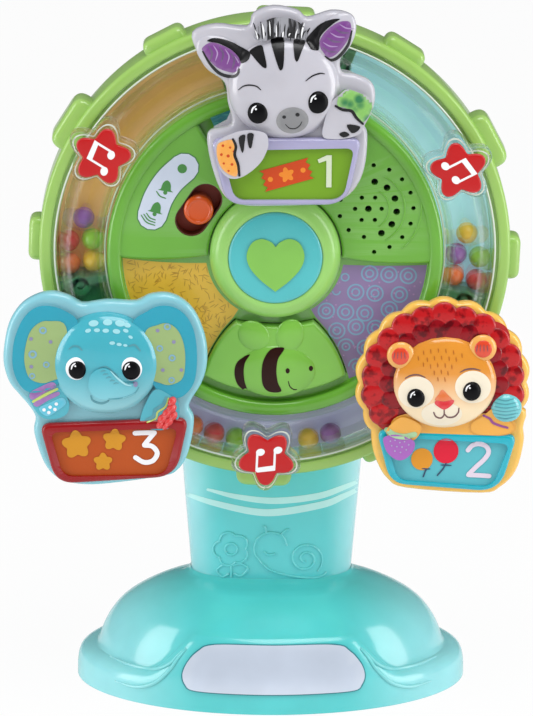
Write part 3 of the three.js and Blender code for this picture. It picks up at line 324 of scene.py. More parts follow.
# A cushion-like form on an outline: it rises in a quarter circle and is closed behind
def puffMesh(name, outline, base, height, reach, steps=6, wallHeight=0.0):
    bm = bmesh.new()
    face = bm.faces.new([bm.verts.new((x * mm, base * mm, z * mm)) for x, z in outline])
    bm.normal_update()
    if face.normal.y > 0:
        bmesh.ops.reverse_faces(bm, faces=[face])
    if wallHeight:
        bmesh.ops.inset_region(bm, faces=[face], thickness=0.01 * mm, depth=wallHeight * mm,
                               use_even_offset=True)
    for i in range(steps):
        low, high = math.pi / 2 * i / steps, math.pi / 2 * (i + 1) / steps
        bmesh.ops.inset_region(bm, faces=[face], thickness=reach * (math.cos(low) - math.cos(high)) * mm,
                               depth=height * (math.sin(high) - math.sin(low)) * mm, use_even_offset=True)
    rim = [edge for edge in bm.edges if edge.is_boundary]
    bmesh.ops.holes_fill(bm, edges=rim)
    bmesh.ops.triangulate(bm, faces=[f for f in bm.faces if len(f.verts) > 4])
    return finished(bm, name)


# An egg-shaped form; bulges are (x, z, radius, height) swellings of its front
def eggMesh(name, x, y, z, wide, deep, tall, turn=0.0, bulges=(), squareness=2.0, sides=64):
    bm = bmesh.new()
    bmesh.ops.create_uvsphere(bm, u_segments=sides, v_segments=sides // 2, radius=1)
    bmesh.ops.rotate(bm, verts=bm.verts[:], matrix=Matrix.Rotation(math.pi / 2, 3, "X"))
    for vert in bm.verts:
        p = vert.co
        flat = math.hypot(p.x, p.z)
        share = abs(p.y) ** (2 / squareness)
        vert.co = Vector((p.x * wide, math.copysign(share, p.y) * deep if flat < 1 else 0, p.z * tall))
    bmesh.ops.rotate(bm, verts=bm.verts[:], matrix=Matrix.Rotation(-math.radians(turn), 3, "Y"))
    bmesh.ops.translate(bm, verts=bm.verts[:], vec=(x, y, z))
    for bx, bz, radius, height in bulges:
        for vert in bm.verts:
            if vert.co.y < y:
                away = ((vert.co.x - bx) ** 2 + (vert.co.z - bz) ** 2) / radius ** 2
                vert.co.y -= height * math.exp(-away)
    bmesh.ops.scale(bm, verts=bm.verts[:], vec=(mm, mm, mm))
    return finished(bm, name)


def joined(name, meshes):
    bm = bmesh.new()
    for mesh in meshes:
        bm.from_mesh(mesh)
        bpy.data.meshes.remove(mesh)
    return toMesh(bm, name)


def surfaceOf(*pieces):
    bm = bmesh.new()
    for piece in pieces:
        bm.from_mesh(piece.data)
    tree = BVHTree.FromBMesh(bm)
    bm.free()
    return tree


# Overlapping outlines keep this apart: on the sheet in metres, and as laid in millimetres
sheetStep, liftStep = 1e-5, 0.012


# A thin printed or moulded skin on a surface; the outline is where the camera sees it on the sheet plane.
# Outlines that overlap lie in three steps, so that none fights with its neighbour
def printMesh(name, outlines, target, sheetY, lift=0.06, thickness=0.05, cell=1.6, square=False):
    eye = cameraPlace()
    bm = bmesh.new()
    for i, outline in enumerate(outlines):
        depth = sheetY * mm - i % 3 * sheetStep
        bm.faces.new([bm.verts.new((x * mm, depth, z * mm)) for x, z in outline])
    for axis, normal in ((0, (1, 0, 0)), (2, (0, 0, 1))):
        low = min(vert.co[axis] for vert in bm.verts)
        high = max(vert.co[axis] for vert in bm.verts)
        for k in range(1, int((high - low) / (cell * mm)) + 1):
            place = [0, 0, 0]
            place[axis] = low + k * cell * mm
            geom = bm.verts[:] + bm.edges[:] + bm.faces[:]
            bmesh.ops.bisect_plane(bm, geom=geom, dist=1e-7, plane_co=place, plane_no=normal)
    bmesh.ops.triangulate(bm, faces=[f for f in bm.faces if len(f.verts) > 4])
    layers = {vert: (sheetY * mm - vert.co.y) / sheetStep * liftStep for vert in bm.verts}
    for vert in bm.verts:
        start, ahead = (vert.co + Vector((0, -0.2, 0)), Vector((0, 1, 0))) if square else (eye,
            vert.co - eye)
        spot, normal, index, distance = target.ray_cast(start, ahead.normalized())
        if spot is None:
            spot, normal, index, distance = target.find_nearest(vert.co)
        outward = normal if normal.y < 0.2 else -normal
        vert.co = spot + outward * (lift + layers[vert]) * mm
    bm.normal_update()
    for face in bm.faces:
        if face.normal.y > 0:
            face.normal_flip()
    bmesh.ops.solidify(bm, geom=bm.faces[:], thickness=thickness * mm)
    return toMesh(bm, name)


def printed(name, outlines, target, sheetY, finish, body, **options):
    return asPiece(name, printMesh(name, outlines, target, sheetY, **options), finish, body, 60)


# Shared effects: node groups that put out colours, masks, values and normals
def newGroup(name, inputs, outputs):
    group = bpy.data.node_groups.new(name, "ShaderNodeTree")
    for label, kind, value in inputs:
        socket = group.interface.new_socket(label, in_out="INPUT", socket_type=kind)
        if value is not None:
            socket.default_value = value
    for label, kind in outputs:
        group.interface.new_socket(label, in_out="OUTPUT", socket_type=kind)
    return group, group.nodes.new("NodeGroupInput"), group.nodes.new("NodeGroupOutput")


def addNode(tree, kind, links=(), **values):
    node = tree.nodes.new("ShaderNode" + kind)
    for key, value in values.items():
        if key.startswith("in_"):
            node.inputs[key[3:].replace("_", " ")].default_value = value
        else:
            setattr(node, key, value)
    for socket, source in links:
        tree.links.new(source, node.inputs[socket])
    return node


def makeMottleGroup():
    group, given, out = newGroup("mouldedMottle", [
        ("Vector", "NodeSocketVector", None), ("Colour", "NodeSocketColor", (0.5, 0.5, 0.5, 1)),
        ("Tone", "NodeSocketFloat", 0.06), ("Roughness", "NodeSocketFloat", 0.25),
        ("Size", "NodeSocketFloat", 60.0)], [
            ("Colour", "NodeSocketColor"), ("Roughness", "NodeSocketFloat")])
    flow = addNode(group, "TexNoise", [
        ("Vector", given.outputs["Vector"]), ("Scale", given.outputs["Size"])], in_Detail=3.0,
                   in_Roughness=0.45)
    fine = addNode(group, "TexNoise", [("Vector", given.outputs["Vector"])], in_Scale=900.0, in_Detail=2.0)
    swing = addNode(group, "MapRange", [("Value", flow.outputs["Fac"])], in_From_Min=0.25,
                    in_From_Max=0.75, in_To_Min=-1.0, in_To_Max=1.0)
    amount = addNode(group, "Math", [(0, swing.outputs["Result"]), (1, given.outputs["Tone"])],
                     operation="MULTIPLY")
    lift = addNode(group, "Math", [(0, amount.outputs[0])], operation="ADD")
    lift.inputs[1].default_value = 1.0
    tint = addNode(group, "VectorMath", [(0, given.outputs["Colour"])], operation="SCALE")
    group.links.new(lift.outputs[0], tint.inputs["Scale"])
    group.links.new(tint.outputs["Vector"], out.inputs["Colour"])
    haze = addNode(group, "MapRange", [("Value", fine.outputs["Fac"])], in_To_Min=0.85, in_To_Max=1.2)
    rough = addNode(group, "Math", [(0, haze.outputs["Result"]), (1, given.outputs["Roughness"])],
                    operation="MULTIPLY")
    group.links.new(rough.outputs[0], out.inputs["Roughness"])
    return group


def makeGrainGroup():
    group, given, out = newGroup("fineGrain", [
        ("Vector", "NodeSocketVector", None), ("Grain", "NodeSocketFloat", 0.05),
        ("Ripple", "NodeSocketFloat", 0.02), ("Size", "NodeSocketFloat", 1400.0)],
        [("Normal", "NodeSocketVector")])
    grain = addNode(group, "TexNoise", [
        ("Vector", given.outputs["Vector"]), ("Scale", given.outputs["Size"])], in_Detail=2.0)
    ripple = addNode(group, "TexNoise", [("Vector", given.outputs["Vector"])], in_Scale=45.0, in_Detail=1.0)
    first = addNode(group, "Bump", [
        ("Height", ripple.outputs["Fac"]), ("Strength", given.outputs["Ripple"])], in_Distance=0.004)
    second = addNode(group, "Bump", [
        ("Height", grain.outputs["Fac"]), ("Strength", given.outputs["Grain"]),
        ("Normal", first.outputs["Normal"])], in_Distance=0.0004)
    group.links.new(second.outputs["Normal"], out.inputs["Normal"])
    return group


# Painted edge highlight: sharp convex edges, found by pointiness, are mixed towards white
def makeEdgeHighlightGroup():
    group, given, out = newGroup("paintedEdgeHighlight", [
        ("Colour", "NodeSocketColor", (0.5, 0.5, 0.5, 1)), ("Amount", "NodeSocketFloat", 0.12)],
        [("Colour", "NodeSocketColor")])
    shape = addNode(group, "NewGeometry")
    edge = addNode(group, "MapRange", [("Value", shape.outputs["Pointiness"])], in_From_Min=0.52,
                   in_From_Max=0.6)
    share = addNode(group, "Math", [(0, edge.outputs["Result"]), (1, given.outputs["Amount"])],
                    operation="MULTIPLY")
    paler = addNode(group, "Mix", data_type="RGBA")
    group.links.new(share.outputs[0], paler.inputs["Factor"])
    group.links.new(given.outputs["Colour"], paler.inputs[6])
    paler.inputs[7].default_value = (1, 1, 1, 1)
    group.links.new(paler.outputs[2], out.inputs["Colour"])
    return group


mottleGroup, grainGroup, edgeHighlightGroup = makeMottleGroup(), makeGrainGroup(), makeEdgeHighlightGroup()


def paint(red, green, blue):
    def plain(value):
        share = value / 255
        return share / 12.92 if share <= 0.04045 else ((share + 0.055) / 1.055) ** 2.4
    return (plain(red), plain(green), plain(blue), 1.0)


def placeGroup(tree, group, **values):
    node = tree.nodes.new("ShaderNodeGroup")
    node.node_tree = group
    for key, value in values.items():
        node.inputs[key].default_value = value
    return node


def startedMaterial(name):
    material = bpy.data.materials.new(name)
    material.use_nodes = True
    tree = material.node_tree
    place = addNode(tree, "TexCoord")
    return material, tree, tree.nodes["Principled BSDF"], place.outputs["Object"]


def addMottle(tree, shader, place, **values):
    mottle = placeGroup(tree, mottleGroup, **values)
    tree.links.new(place, mottle.inputs["Vector"])
    tree.links.new(mottle.outputs["Colour"], shader.inputs["Base Color"])
    tree.links.new(mottle.outputs["Roughness"], shader.inputs["Roughness"])
    return mottle


def addGrain(tree, shader, place, grain, ripple):
    fine = placeGroup(tree, grainGroup, Grain=grain, Ripple=ripple)
    tree.links.new(place, fine.inputs["Vector"])
    tree.links.new(fine.outputs["Normal"], shader.inputs["Normal"])


# Moulded plastic: a mottled colour, sharp edges paled towards white as a painted highlight, and a fine
# grain
def mouldedPlastic(name, colour, roughness=0.22, tone=0.05, grain=0.04, ripple=0.03, edgeHighlight=0.1, coat=0.35,
                   softness=0.0, metallic=0.0, pattern=None, shine=0.5, glow=None):
    material, tree, shader, place = startedMaterial(name)
    mottle = addMottle(tree, shader, place, Colour=paint(*colour), Tone=tone, Roughness=roughness)
    if pattern:
        tree.links.new(pattern(tree, place, paint(*colour)), mottle.inputs["Colour"])
    litEdges = placeGroup(tree, edgeHighlightGroup, Amount=edgeHighlight)
    tree.links.new(mottle.outputs["Colour"], litEdges.inputs["Colour"])
    tree.links.new(litEdges.outputs["Colour"], shader.inputs["Base Color"])
    addGrain(tree, shader, place, grain, ripple)
    shader.inputs["Metallic"].default_value = metallic
    shader.inputs["Specular IOR Level"].default_value = shine
    shader.inputs["Coat Weight"].default_value = coat
    shader.inputs["Coat Roughness"].default_value = 0.06
    shader.inputs["Subsurface Weight"].default_value = softness
    shader.inputs["Subsurface Radius"].default_value = (0.006, 0.004, 0.003)
    # glow: an emission, painted light for a part that is no lamp
    if glow:
        shader.inputs["Emission Color"].default_value = (*glow, 1)
        shader.inputs["Emission Strength"].default_value = 0.7
    return material


# Clear plastic: light passes it without a dark shadow
def clearPlastic(name, tint=(246, 250, 250), roughness=0.04, openness=0.75):
    material, tree, shader, place = startedMaterial(name)
    addMottle(tree, shader, place, Colour=paint(*tint), Tone=0.01, Roughness=roughness)
    addGrain(tree, shader, place, 0.01, 0.05)
    shader.inputs["Transmission Weight"].default_value = 1.0
    shader.inputs["IOR"].default_value = 1.42
    shader.inputs["Coat Weight"].default_value = 0.6
    path = addNode(tree, "LightPath")
    passing = addNode(tree, "BsdfTransparent", in_Color=(0.97, 0.98, 0.98, 1))
    softRay = addNode(tree, "Math", [
        (0, path.outputs["Is Shadow Ray"]), (1, path.outputs["Is Diffuse Ray"])], operation="MAXIMUM")
    tilt = addNode(tree, "LayerWeight", in_Blend=0.35)
    facing = addNode(tree, "MapRange", [("Value", tilt.outputs["Facing"])], in_From_Min=0.15,
                     in_From_Max=0.85, in_To_Min=openness, in_To_Max=0.15)
    share = addNode(tree, "Math", [(0, softRay.outputs[0]), (1, facing.outputs["Result"])],
                    operation="MAXIMUM")
    blend = addNode(tree, "MixShader", [
        (0, share.outputs[0]), (1, shader.outputs[0]), (2, passing.outputs[0])])
    tree.links.new(blend.outputs[0], tree.nodes["Material Output"].inputs["Surface"])
    return material


# Patterns: each mixes the finish's own colour with a second one by a mask
def mixedBy(mask, first, second):
    tree = mask.id_data
    mix = addNode(tree, "Mix", [("Factor", mask.outputs["Result"])], data_type="RGBA")
    mix.inputs[6].default_value = first
    mix.inputs[7].default_value = paint(*second)
    return mix.outputs[2]


# Fine short strokes or spots scattered over a colour
def speckle(second, scale, size, stretch=(1, 1, 1), soft=0.05):
    def build(tree, vector, first):
        turn = addNode(tree, "Mapping", [("Vector", vector)], in_Scale=stretch)
        cells = addNode(tree, "TexVoronoi", [("Vector", turn.outputs["Vector"])], in_Scale=scale)
        mask = addNode(tree, "MapRange", [("Value", cells.outputs["Distance"])], in_From_Min=size,
                       in_From_Max=size + soft, in_To_Min=1.0, in_To_Max=0.0)
        return mixedBy(mask, first, second)
    return build


# Streaks along one direction, as in combed hair or grooved fur
def streaks(second, scale, stretch, share=0.5):
    def build(tree, vector, first):
        turn = addNode(tree, "Mapping", [("Vector", vector)], in_Scale=stretch)
        noise = addNode(tree, "TexNoise", [("Vector", turn.outputs["Vector"])], in_Scale=scale,
                        in_Detail=3.0)
        mask = addNode(tree, "MapRange", [("Value", noise.outputs["Fac"])],
                       in_From_Min=share - 0.06, in_From_Max=share + 0.06)
        return mixedBy(mask, first, second)
    return build


# A colour that pales towards both sides: a painted sheen of the side lights on the rounded flanks
def paintedSideSheen(second, low, high):
    def build(tree, vector, first):
        parts = addNode(tree, "SeparateXYZ", [("Vector", vector)])
        side = addNode(tree, "Math", [(0, parts.outputs["X"])], operation="ABSOLUTE")
        mask = addNode(tree, "MapRange", [("Value", side.outputs[0])], in_From_Min=low * mm,
                       in_From_Max=high * mm, interpolation_type="SMOOTHSTEP")
        return mixedBy(mask, first, second)
    return build


# A colour that changes over a height
def fadeUp(second, low, high):
    def build(tree, vector, first):
        parts = addNode(tree, "SeparateXYZ", [("Vector", vector)])
        mask = addNode(tree, "MapRange", [("Value", parts.outputs["Z"])], in_From_Min=low * mm,
                       in_From_Max=high * mm)
        return mixedBy(mask, first, second)
    return build


# The aqua base and neck pale towards their sides: painted sheen of the side lights
finishes = {"aqua": mouldedPlastic("aquaPlastic", (84, 204, 204), 0.2, softness=0.15,
                                   pattern=paintedSideSheen((150, 222, 226), 26, 76)),
            "aquaNeck": mouldedPlastic("aquaNeck", (94, 210, 213), 0.2, softness=0.15,
                                       pattern=paintedSideSheen((176, 226, 232), 22, 42)),
            "aquaDeep": mouldedPlastic("aquaCarvedPlastic", (58, 186, 188), 0.25),
            # Pale aqua for the neck's raised bands: a painted highlight
            "highlightAqua": mouldedPlastic("paleAquaHighlightStripe", (182, 238, 236), 0.25),
            "lime": mouldedPlastic("limePlastic", (104, 171, 52), 0.2, softness=0.08),
            "limePale": mouldedPlastic("paleLimePlastic", (154, 196, 96), 0.22, softness=0.08),
            "limeFrosted": mouldedPlastic("frostedLimePlastic", (150, 206, 104), 0.32, grain=0.1,
                                          softness=0.08),
            "teal": mouldedPlastic("tealPrint", (74, 186, 190), 0.25),
            "heart": mouldedPlastic("heartGreen", (128, 192, 76), 0.22),
            "orange": mouldedPlastic("orangePlastic", (208, 78, 6), 0.22),
            "orangeDeep": mouldedPlastic("deepOrangeLip", (88, 34, 16), 0.4, edgeHighlight=0.0, coat=0.1),
            "limeBee": mouldedPlastic("beeGreen", (126, 190, 72), 0.16, softness=0.08),
            "greenInk": mouldedPlastic("greenIcon", (62, 134, 56), 0.35, edgeHighlight=0.0),
            "yellowField": mouldedPlastic("goldenField", (240, 192, 62), 0.4, edgeHighlight=0.0, tone=0.06),
            "yellowGrain": mouldedPlastic("goldenGrain", (204, 154, 48), 0.4, edgeHighlight=0.0),
            "purpleField": mouldedPlastic("mauveField", (144, 122, 170), 0.4, edgeHighlight=0.0, tone=0.08),
            "skyInk": mouldedPlastic("skyRings", (126, 170, 200), 0.4, edgeHighlight=0.0),
            "pinkInk": mouldedPlastic("mauveDots", (176, 140, 190), 0.4, edgeHighlight=0.0),
            "tealField": mouldedPlastic("tealField", (60, 150, 160), 0.4, edgeHighlight=0.0,
                                        pattern=speckle((96, 182, 178), 160, 0.32, (1, 1, 5))),
            "maroon": mouldedPlastic("maroonSlot", (150, 48, 22), 0.5, edgeHighlight=0.0, coat=0.0),
            "black": mouldedPlastic("blackPlastic", (20, 20, 22), 0.35, edgeHighlight=0.02),
            "ink": mouldedPlastic("blackPrint", (12, 11, 14), 0.35, edgeHighlight=0.0, coat=0.1),
            "brownInk": mouldedPlastic("brownPrint", (44, 14, 8), 0.35, edgeHighlight=0.0, coat=0.06, shine=0.2),
            "glossBlack": mouldedPlastic("eyeBlack", (8, 8, 11), 0.4, tone=0.0, grain=0.0, ripple=0.0,
                                         edgeHighlight=0.0, coat=0.05, shine=0.12),
            "white": mouldedPlastic("whitePlastic", (232, 232, 238), 0.24, tone=0.02, softness=0.1),
            "whiteInk": mouldedPlastic("whitePrint", (240, 240, 242), 0.3, tone=0.02, edgeHighlight=0.0),
            "silver": mouldedPlastic("silverPrint", (204, 214, 230), 0.3, metallic=0.2),
            "darkGreen": mouldedPlastic("darkGreenPlastic", (52, 124, 76), 0.3),
            "darkGreenInk": mouldedPlastic("darkGreenPrint", (58, 120, 58), 0.35, edgeHighlight=0.0),
            "navyInk": mouldedPlastic("navyLine", (30, 58, 92), 0.35, edgeHighlight=0.0),
            "red": mouldedPlastic("redPlastic", (188, 18, 20), 0.2, shine=0.25),
            "steel": mouldedPlastic("platedSteel", (190, 192, 198), 0.25, metallic=1.0, edgeHighlight=0.0, coat=0.0),
            "board": mouldedPlastic("circuitBoard", (24, 84, 44), 0.4),
            "cell": mouldedPlastic("batterySleeve", (196, 124, 56), 0.3, metallic=0.6),
            "pad": mouldedPlastic("greyRubber", (120, 120, 126), 0.6, grain=0.2, coat=0.0),
            "cupRubber": mouldedPlastic("suctionRubber", (206, 216, 220), 0.3, softness=0.3, coat=0.1),
            "clear": clearPlastic("clearCover"),
            # Pale glossy edges: painted highlights along the clear cover and the star blocks
            "bright": mouldedPlastic("paintedHighlightEdge", (214, 222, 208), 0.12, edgeHighlight=0.0, coat=0.8),
            # The liners glow a little: painted light that brightens the deep chambers under the clear cover
            "linerTeal": mouldedPlastic("tealLiner", (176, 226, 230), 0.3, tone=0.08,
                                        glow=(0.2, 0.36, 0.46)),
            "linerOrange": mouldedPlastic("orangeLiner", (238, 176, 100), 0.3, tone=0.08,
                                          glow=(0.14, 0.08, 0.02)),
            "linerPurple": mouldedPlastic("purpleLiner", (172, 170, 204), 0.3, tone=0.08,
                                          glow=(0.17, 0.18, 0.27)),
            "labelLine": mouldedPlastic("labelLine", (40, 130, 140), 0.3, edgeHighlight=0.0),
            "limeHousing": mouldedPlastic("limeHousing", (140, 204, 80), 0.26, softness=0.08)}
print("finishes mixed")


# A pale floor and a plain soft studio
studio = {"floor": 0.95, "surround": 0.5, "glare": 0.14, "floorGlare": 0.25, "sidePower": 4.0,
          "topPower": 5.0, "aim": (0, 0, 0.15)}


def makeStudio():
    world = bpy.data.worlds.new("softStudio")
    bpy.context.scene.world = world
    world.use_nodes = True
    tree = world.node_tree
    tree.nodes.clear()
    path = addNode(tree, "LightPath")
    seen = addNode(tree, "Background", in_Color=(1, 1, 1, 1), in_Strength=1.0)
    lit = addNode(tree, "Background", in_Color=(0.93, 0.96, 1, 1), in_Strength=studio["surround"])
    dim = addNode(tree, "Background", in_Color=(0.93, 0.96, 1, 1), in_Strength=studio["glare"])
    mirrored = addNode(tree, "MixShader", [
        (0, path.outputs["Is Glossy Ray"]), (1, lit.outputs[0]), (2, dim.outputs[0])])
    blend = addNode(tree, "MixShader", [
        (0, path.outputs["Is Camera Ray"]), (1, mirrored.outputs[0]), (2, seen.outputs[0])])
    addNode(tree, "OutputWorld", [("Surface", blend.outputs[0])])

    material, tree, shader, place = startedMaterial("paleFloor")
    addMottle(tree, shader, place, Colour=(0.9, 0.9, 0.9, 1), Tone=0.004, Roughness=0.5, Size=8.0)
    glow = addNode(tree, "Emission", in_Color=(1, 1, 1, 1), in_Strength=1.0)
    path = addNode(tree, "LightPath")
    share = addNode(tree, "MapRange", [("Value", path.outputs["Is Glossy Ray"])],
                    in_To_Min=studio["floor"], in_To_Max=studio["floorGlare"])
    blend = addNode(tree, "MixShader", [
        (0, share.outputs["Result"]), (1, shader.outputs[0]), (2, glow.outputs[0])])
    tree.links.new(blend.outputs[0], tree.nodes["Material Output"].inputs["Surface"])

    bm = bmesh.new()
    bmesh.ops.create_grid(bm, x_segments=24, y_segments=24, size=3.0)
    mesh = toMesh(bm, "studioFloor")
    mesh.materials.append(material)
    floor = bpy.data.objects.new("studioFloor", mesh)
    bpy.context.scene.collection.objects.link(floor)


def makeLight(name, place, width, height, power):
    data = bpy.data.lights.new(name, "AREA")
    data.shape = "RECTANGLE"
    data.size, data.size_y, data.energy = width, height, power
    light = bpy.data.objects.new(name, data)
    back = (Vector(place) - Vector(studio["aim"])).normalized()
    light.matrix_world = Matrix.Translation(place) @ back.to_track_quat("Z", "Y").to_matrix().to_4x4()
    bpy.context.scene.collection.objects.link(light)


makeStudio()
makeLight("topLight", (0.15, -0.45, 1.1), 0.7, 0.5, studio["topPower"])
for side, name in ((-1, "leftLight"), (1, "rightLight")):
    makeLight(name, (side * 0.85, -0.35, 0.35), 0.35, 0.8, studio["sidePower"])
print("studio lit")


# Base: a hollow shell whose rings swell from the neck's foot to the lower edge
base = {"halfWidth": 85.3, "halfDepth": 55.7, "height": 49.5, "wall": 2.2, "apronHalf": 38,
        "apronBlend": 22, "openLevels": 3, "collarReach": 7,
        "collar": [(0.45, -0.4), (0.78, -1), (0.92, -1.7), (0.985, -2.6), (1, -2.7), (1, 4)],
        "creased": [
            (0, 1), (0.03, 1), (0.13, 0.998), (0.22, 0.985), (0.262, 0.955), (0.282, 0.92), (0.3, 0.893),
            (0.42, 0.868), (0.54, 0.832), (0.66, 0.776), (0.76, 0.695), (0.85, 0.586), (0.905, 0.47),
            (0.94, 0.36), (0.975, 0.25), (1, 0.16)],
        "apron": [
            (0, 1), (0.03, 1), (0.13, 0.998), (0.3, 0.985), (0.48, 0.945), (0.585, 0.905), (0.64, 0.868),
            (0.665, 0.835), (0.7, 0.79), (0.745, 0.735), (0.8, 0.665), (0.85, 0.59), (0.9, 0.5),
            (0.94, 0.38), (0.975, 0.26), (1, 0.16)]}
neck = {"topHalf": 43, "waistHalf": 37.8, "footHalf": 35.4, "waist": 80, "top": 152, "foot": 43,
        "middleY": 6, "halfDepth": 19, "squareness": 2.5, "gap": 0.3, "wall": 2.2, "drumRadius": 70.3}


def softStep(value):
    t = min(max(value, 0), 1)
    return t * t * (3 - 2 * t)


def blended(a, b, t):
    return a + (b - a) * t


# Ring of points round the base at one level of its profile
def baseRing(level, sides=144):
    points = []
    for i in range(sides):
        angle = math.tau * i / sides
        x, y = math.cos(angle), -math.sin(angle)
        weight = 0 if y > 0 else 1 - softStep((abs(x) * base["halfWidth"] - base["apronHalf"])
                                              / base["apronBlend"])
        (h0, s0), (h1, s1) = base["creased"][level], base["apron"][level]
        size, height = blended(s0, s1, weight), blended(h0, h1, weight)
        points.append((x * size * base["halfWidth"], y * size * base["halfDepth"], height * base["height"]))
    return points


def bridgedRows(bm, rows):
    for low, high in zip(rows, rows[1:]):
        for i in range(len(low)):
            j = (i + 1) % len(low)
            bm.faces.new((low[i], low[j], high[j], high[i]))


# A skin of rings laid over one another, smoothed along its height
def loftedSkin(rings, between=3):
    smooth = []
    for i in range(len(rings) - 1):
        a, b, c, d = (rings[min(max(i + k, 0), len(rings) - 1)] for k in (-1, 0, 1, 2))
        for k in range(between):
            smooth.append([
                splinePoint(*(Vector(p) for p in column), k / between) for column in zip(a, b, c, d)])
    smooth.append([Vector(p) for p in rings[-1]])
    bm = bmesh.new()
    bridgedRows(bm, [[bm.verts.new(p * mm) for p in row] for row in smooth])
    return bm


def neckRing(z, grow=0.0, sides=96):
    if z < neck["waist"]:
        half = blended(neck["footHalf"], neck["waistHalf"],
                       (z - base["height"]) / (neck["waist"] - base["height"]))
    else:
        half = blended(neck["waistHalf"], neck["topHalf"],
                       (z - neck["waist"]) / (neck["top"] - neck["waist"]))
    points = []
    for i in range(sides):
        angle = math.tau * i / sides
        x, y = (math.copysign(abs(f) ** (2 / neck["squareness"]), f)
                for f in (math.cos(angle), math.sin(angle)))
        points.append((x * (half + grow), neck["middleY"] + y * (neck["halfDepth"] + grow), z))
    return points


def makeBaseShell():
    rings = [baseRing(level) for level in range(len(base["creased"]) - base["openLevels"])]
    bm = loftedSkin(rings)
    # the crown closes in to the neck's foot and turns down round it
    sides = len(rings[-1])
    fit = neckRing(base["height"], neck["gap"] / 4, sides)
    last = bm.verts[:][-sides:]
    rows = [last]
    for share, drop in base["collar"]:
        row = []
        for i, vert in enumerate(last):
            x, y, z = vert.co / mm
            fx, fy, _ = fit[(-i) % sides]
            room = softStep(math.hypot(x - fx, y - fy) / base["collarReach"]) if drop < 0 else 1
            row.append(bm.verts.new(Vector((blended(x, fx, share), blended(y, fy, share), z - drop * room))
                                    * mm))
        rows.append(row)
    bridgedRows(bm, rows)
    piece = asPiece("baseShell", finished(bm, "baseShell"), "aqua", "stand", replaces="base_shell")
    addWall(piece, base["wall"])
    return piece


def makeNeck():
    heights = [neck["foot"], base["height"], 62, neck["waist"], 98, 116, 134, neck["top"]]
    pieces = {}
    for side, name, node in ((-1, "neckFront", "neck_front_shell"), (1, "neckBack", "neck_rear_shell")):
        bm = loftedSkin([neckRing(z) for z in heights], between=6)
        for vert in bm.verts:
            x, y, z = vert.co / mm
            under = axisZ - math.sqrt(max(neck["drumRadius"] ** 2 - x * x, 0))
            share = (z - neck["foot"]) / (neck["top"] - neck["foot"])
            lower = neck["foot"] + share * (under - neck["foot"])
            vert.co.z = blended(z, lower, softStep(share)) * mm
        seam = (neck["middleY"] + side * neck["gap"] / 2) * mm
        bmesh.ops.bisect_plane(bm, geom=bm.verts[:] + bm.edges[:] + bm.faces[:], dist=1e-7,
                               plane_co=(0, seam, 0), plane_no=(0, side, 0), clear_inner=True)
        pieces[name] = asPiece(name, finished(bm, name), "aquaNeck", "stand", replaces=node)
        addWall(pieces[name], neck["wall"])
    return pieces["neckFront"]


baseShell = makeBaseShell()
neckFront = makeNeck()
print("base and neck made")


# Cuts a tool's volume out of a mesh, or keeps only what both share
def carved(mesh, tool, operation="DIFFERENCE"):
    body, cutter = bpy.data.objects.new("carvedBody", mesh), bpy.data.objects.new("carvingTool", tool)
    for holder in (body, cutter):
        bpy.context.scene.collection.objects.link(holder)
    change = body.modifiers.new("carve", "BOOLEAN")
    change.object, change.operation, change.solver = cutter, operation, "EXACT"
    graph = bpy.context.evaluated_depsgraph_get()
    result = bpy.data.meshes.new_from_object(body.evaluated_get(graph), depsgraph=graph)
    for holder in (body, cutter):
        bpy.data.objects.remove(holder)
    return result


def onAxis(outline):
    return shifted(outline, axisX, axisZ)


# Half rings, so that a band needs no hole in its outline
def ringBand(x, z, outer, inner, squash=1.0):
    bands = []
    for start in (0, 180):
        arc = [math.radians(start + 180 * k / 14) for k in range(15)]
        bands.append([(x + outer * math.cos(a), z + outer * squash * math.sin(a)) for a in arc]
                     + [(x + inner * math.cos(a), z + inner * squash * math.sin(a)) for a in reversed(arc)])
    return bands


# Drum face: a disc with a rolled rim, two raised sectors, a slot, a grille and room for the button
face = {"radius": 71.2, "back": -33.6, "panel": -36.0, "rimFront": -41.2, "rimWidth": 6.2, "sector": -40.2,
        "sectorRound": 1.6, "sag": 3, "hub": 27.9, "slotX": -32.4, "slotZ": 19.6, "slotHalf": 5.4,
        "slotRadius": 7, "slotSlope": 56, "bellTop": 29.4, "bellBottom": 61, "bellTopHalf": 16.5,
        "bellBottomHalf": 30.5, "bellFront": -41.4, "bellGap": 0.4, "bore": 22, "rolled": 2.9,
        "sectorBack": -35, "toolBack": -25, "toolFront": -50, "raisedLeft": (120, 181),
        "raisedRight": (-3, 60)}
grille = {"x": 39.1, "z": 20.2, "small": 0.95, "large": 1.45,
          "rings": [(5.6, 6, "small", 0, 300), (12, 6, "large", -62, 78), (12.4, 5, "small", 128, 262),
                    (19, 9, "small", -82, 84)]}


def bellLoop(grow):
    top, halfTop = -face["bellTop"] + grow, face["bellTopHalf"] + grow
    halfBottom, radius = face["bellBottomHalf"] + grow, face["bellBottom"] + grow
    end = math.sqrt(radius ** 2 - halfBottom ** 2)
    reach = math.degrees(math.asin(halfBottom / radius))
    side = (halfBottom * 0.86, -face["bellBottom"] * 0.62)
    return (quadCurve((-halfTop, top), (-side[0], side[1]), (-halfBottom, -end))[:-1]
            + arcPoints(radius, -90 - reach, -90 + reach)[:-1]
            + quadCurve((halfBottom, -end), side, (halfTop, top))[:-1]
            + quadCurve((halfTop, top), (0, top - halfTop * 0.22), (-halfTop, top))[:-1])


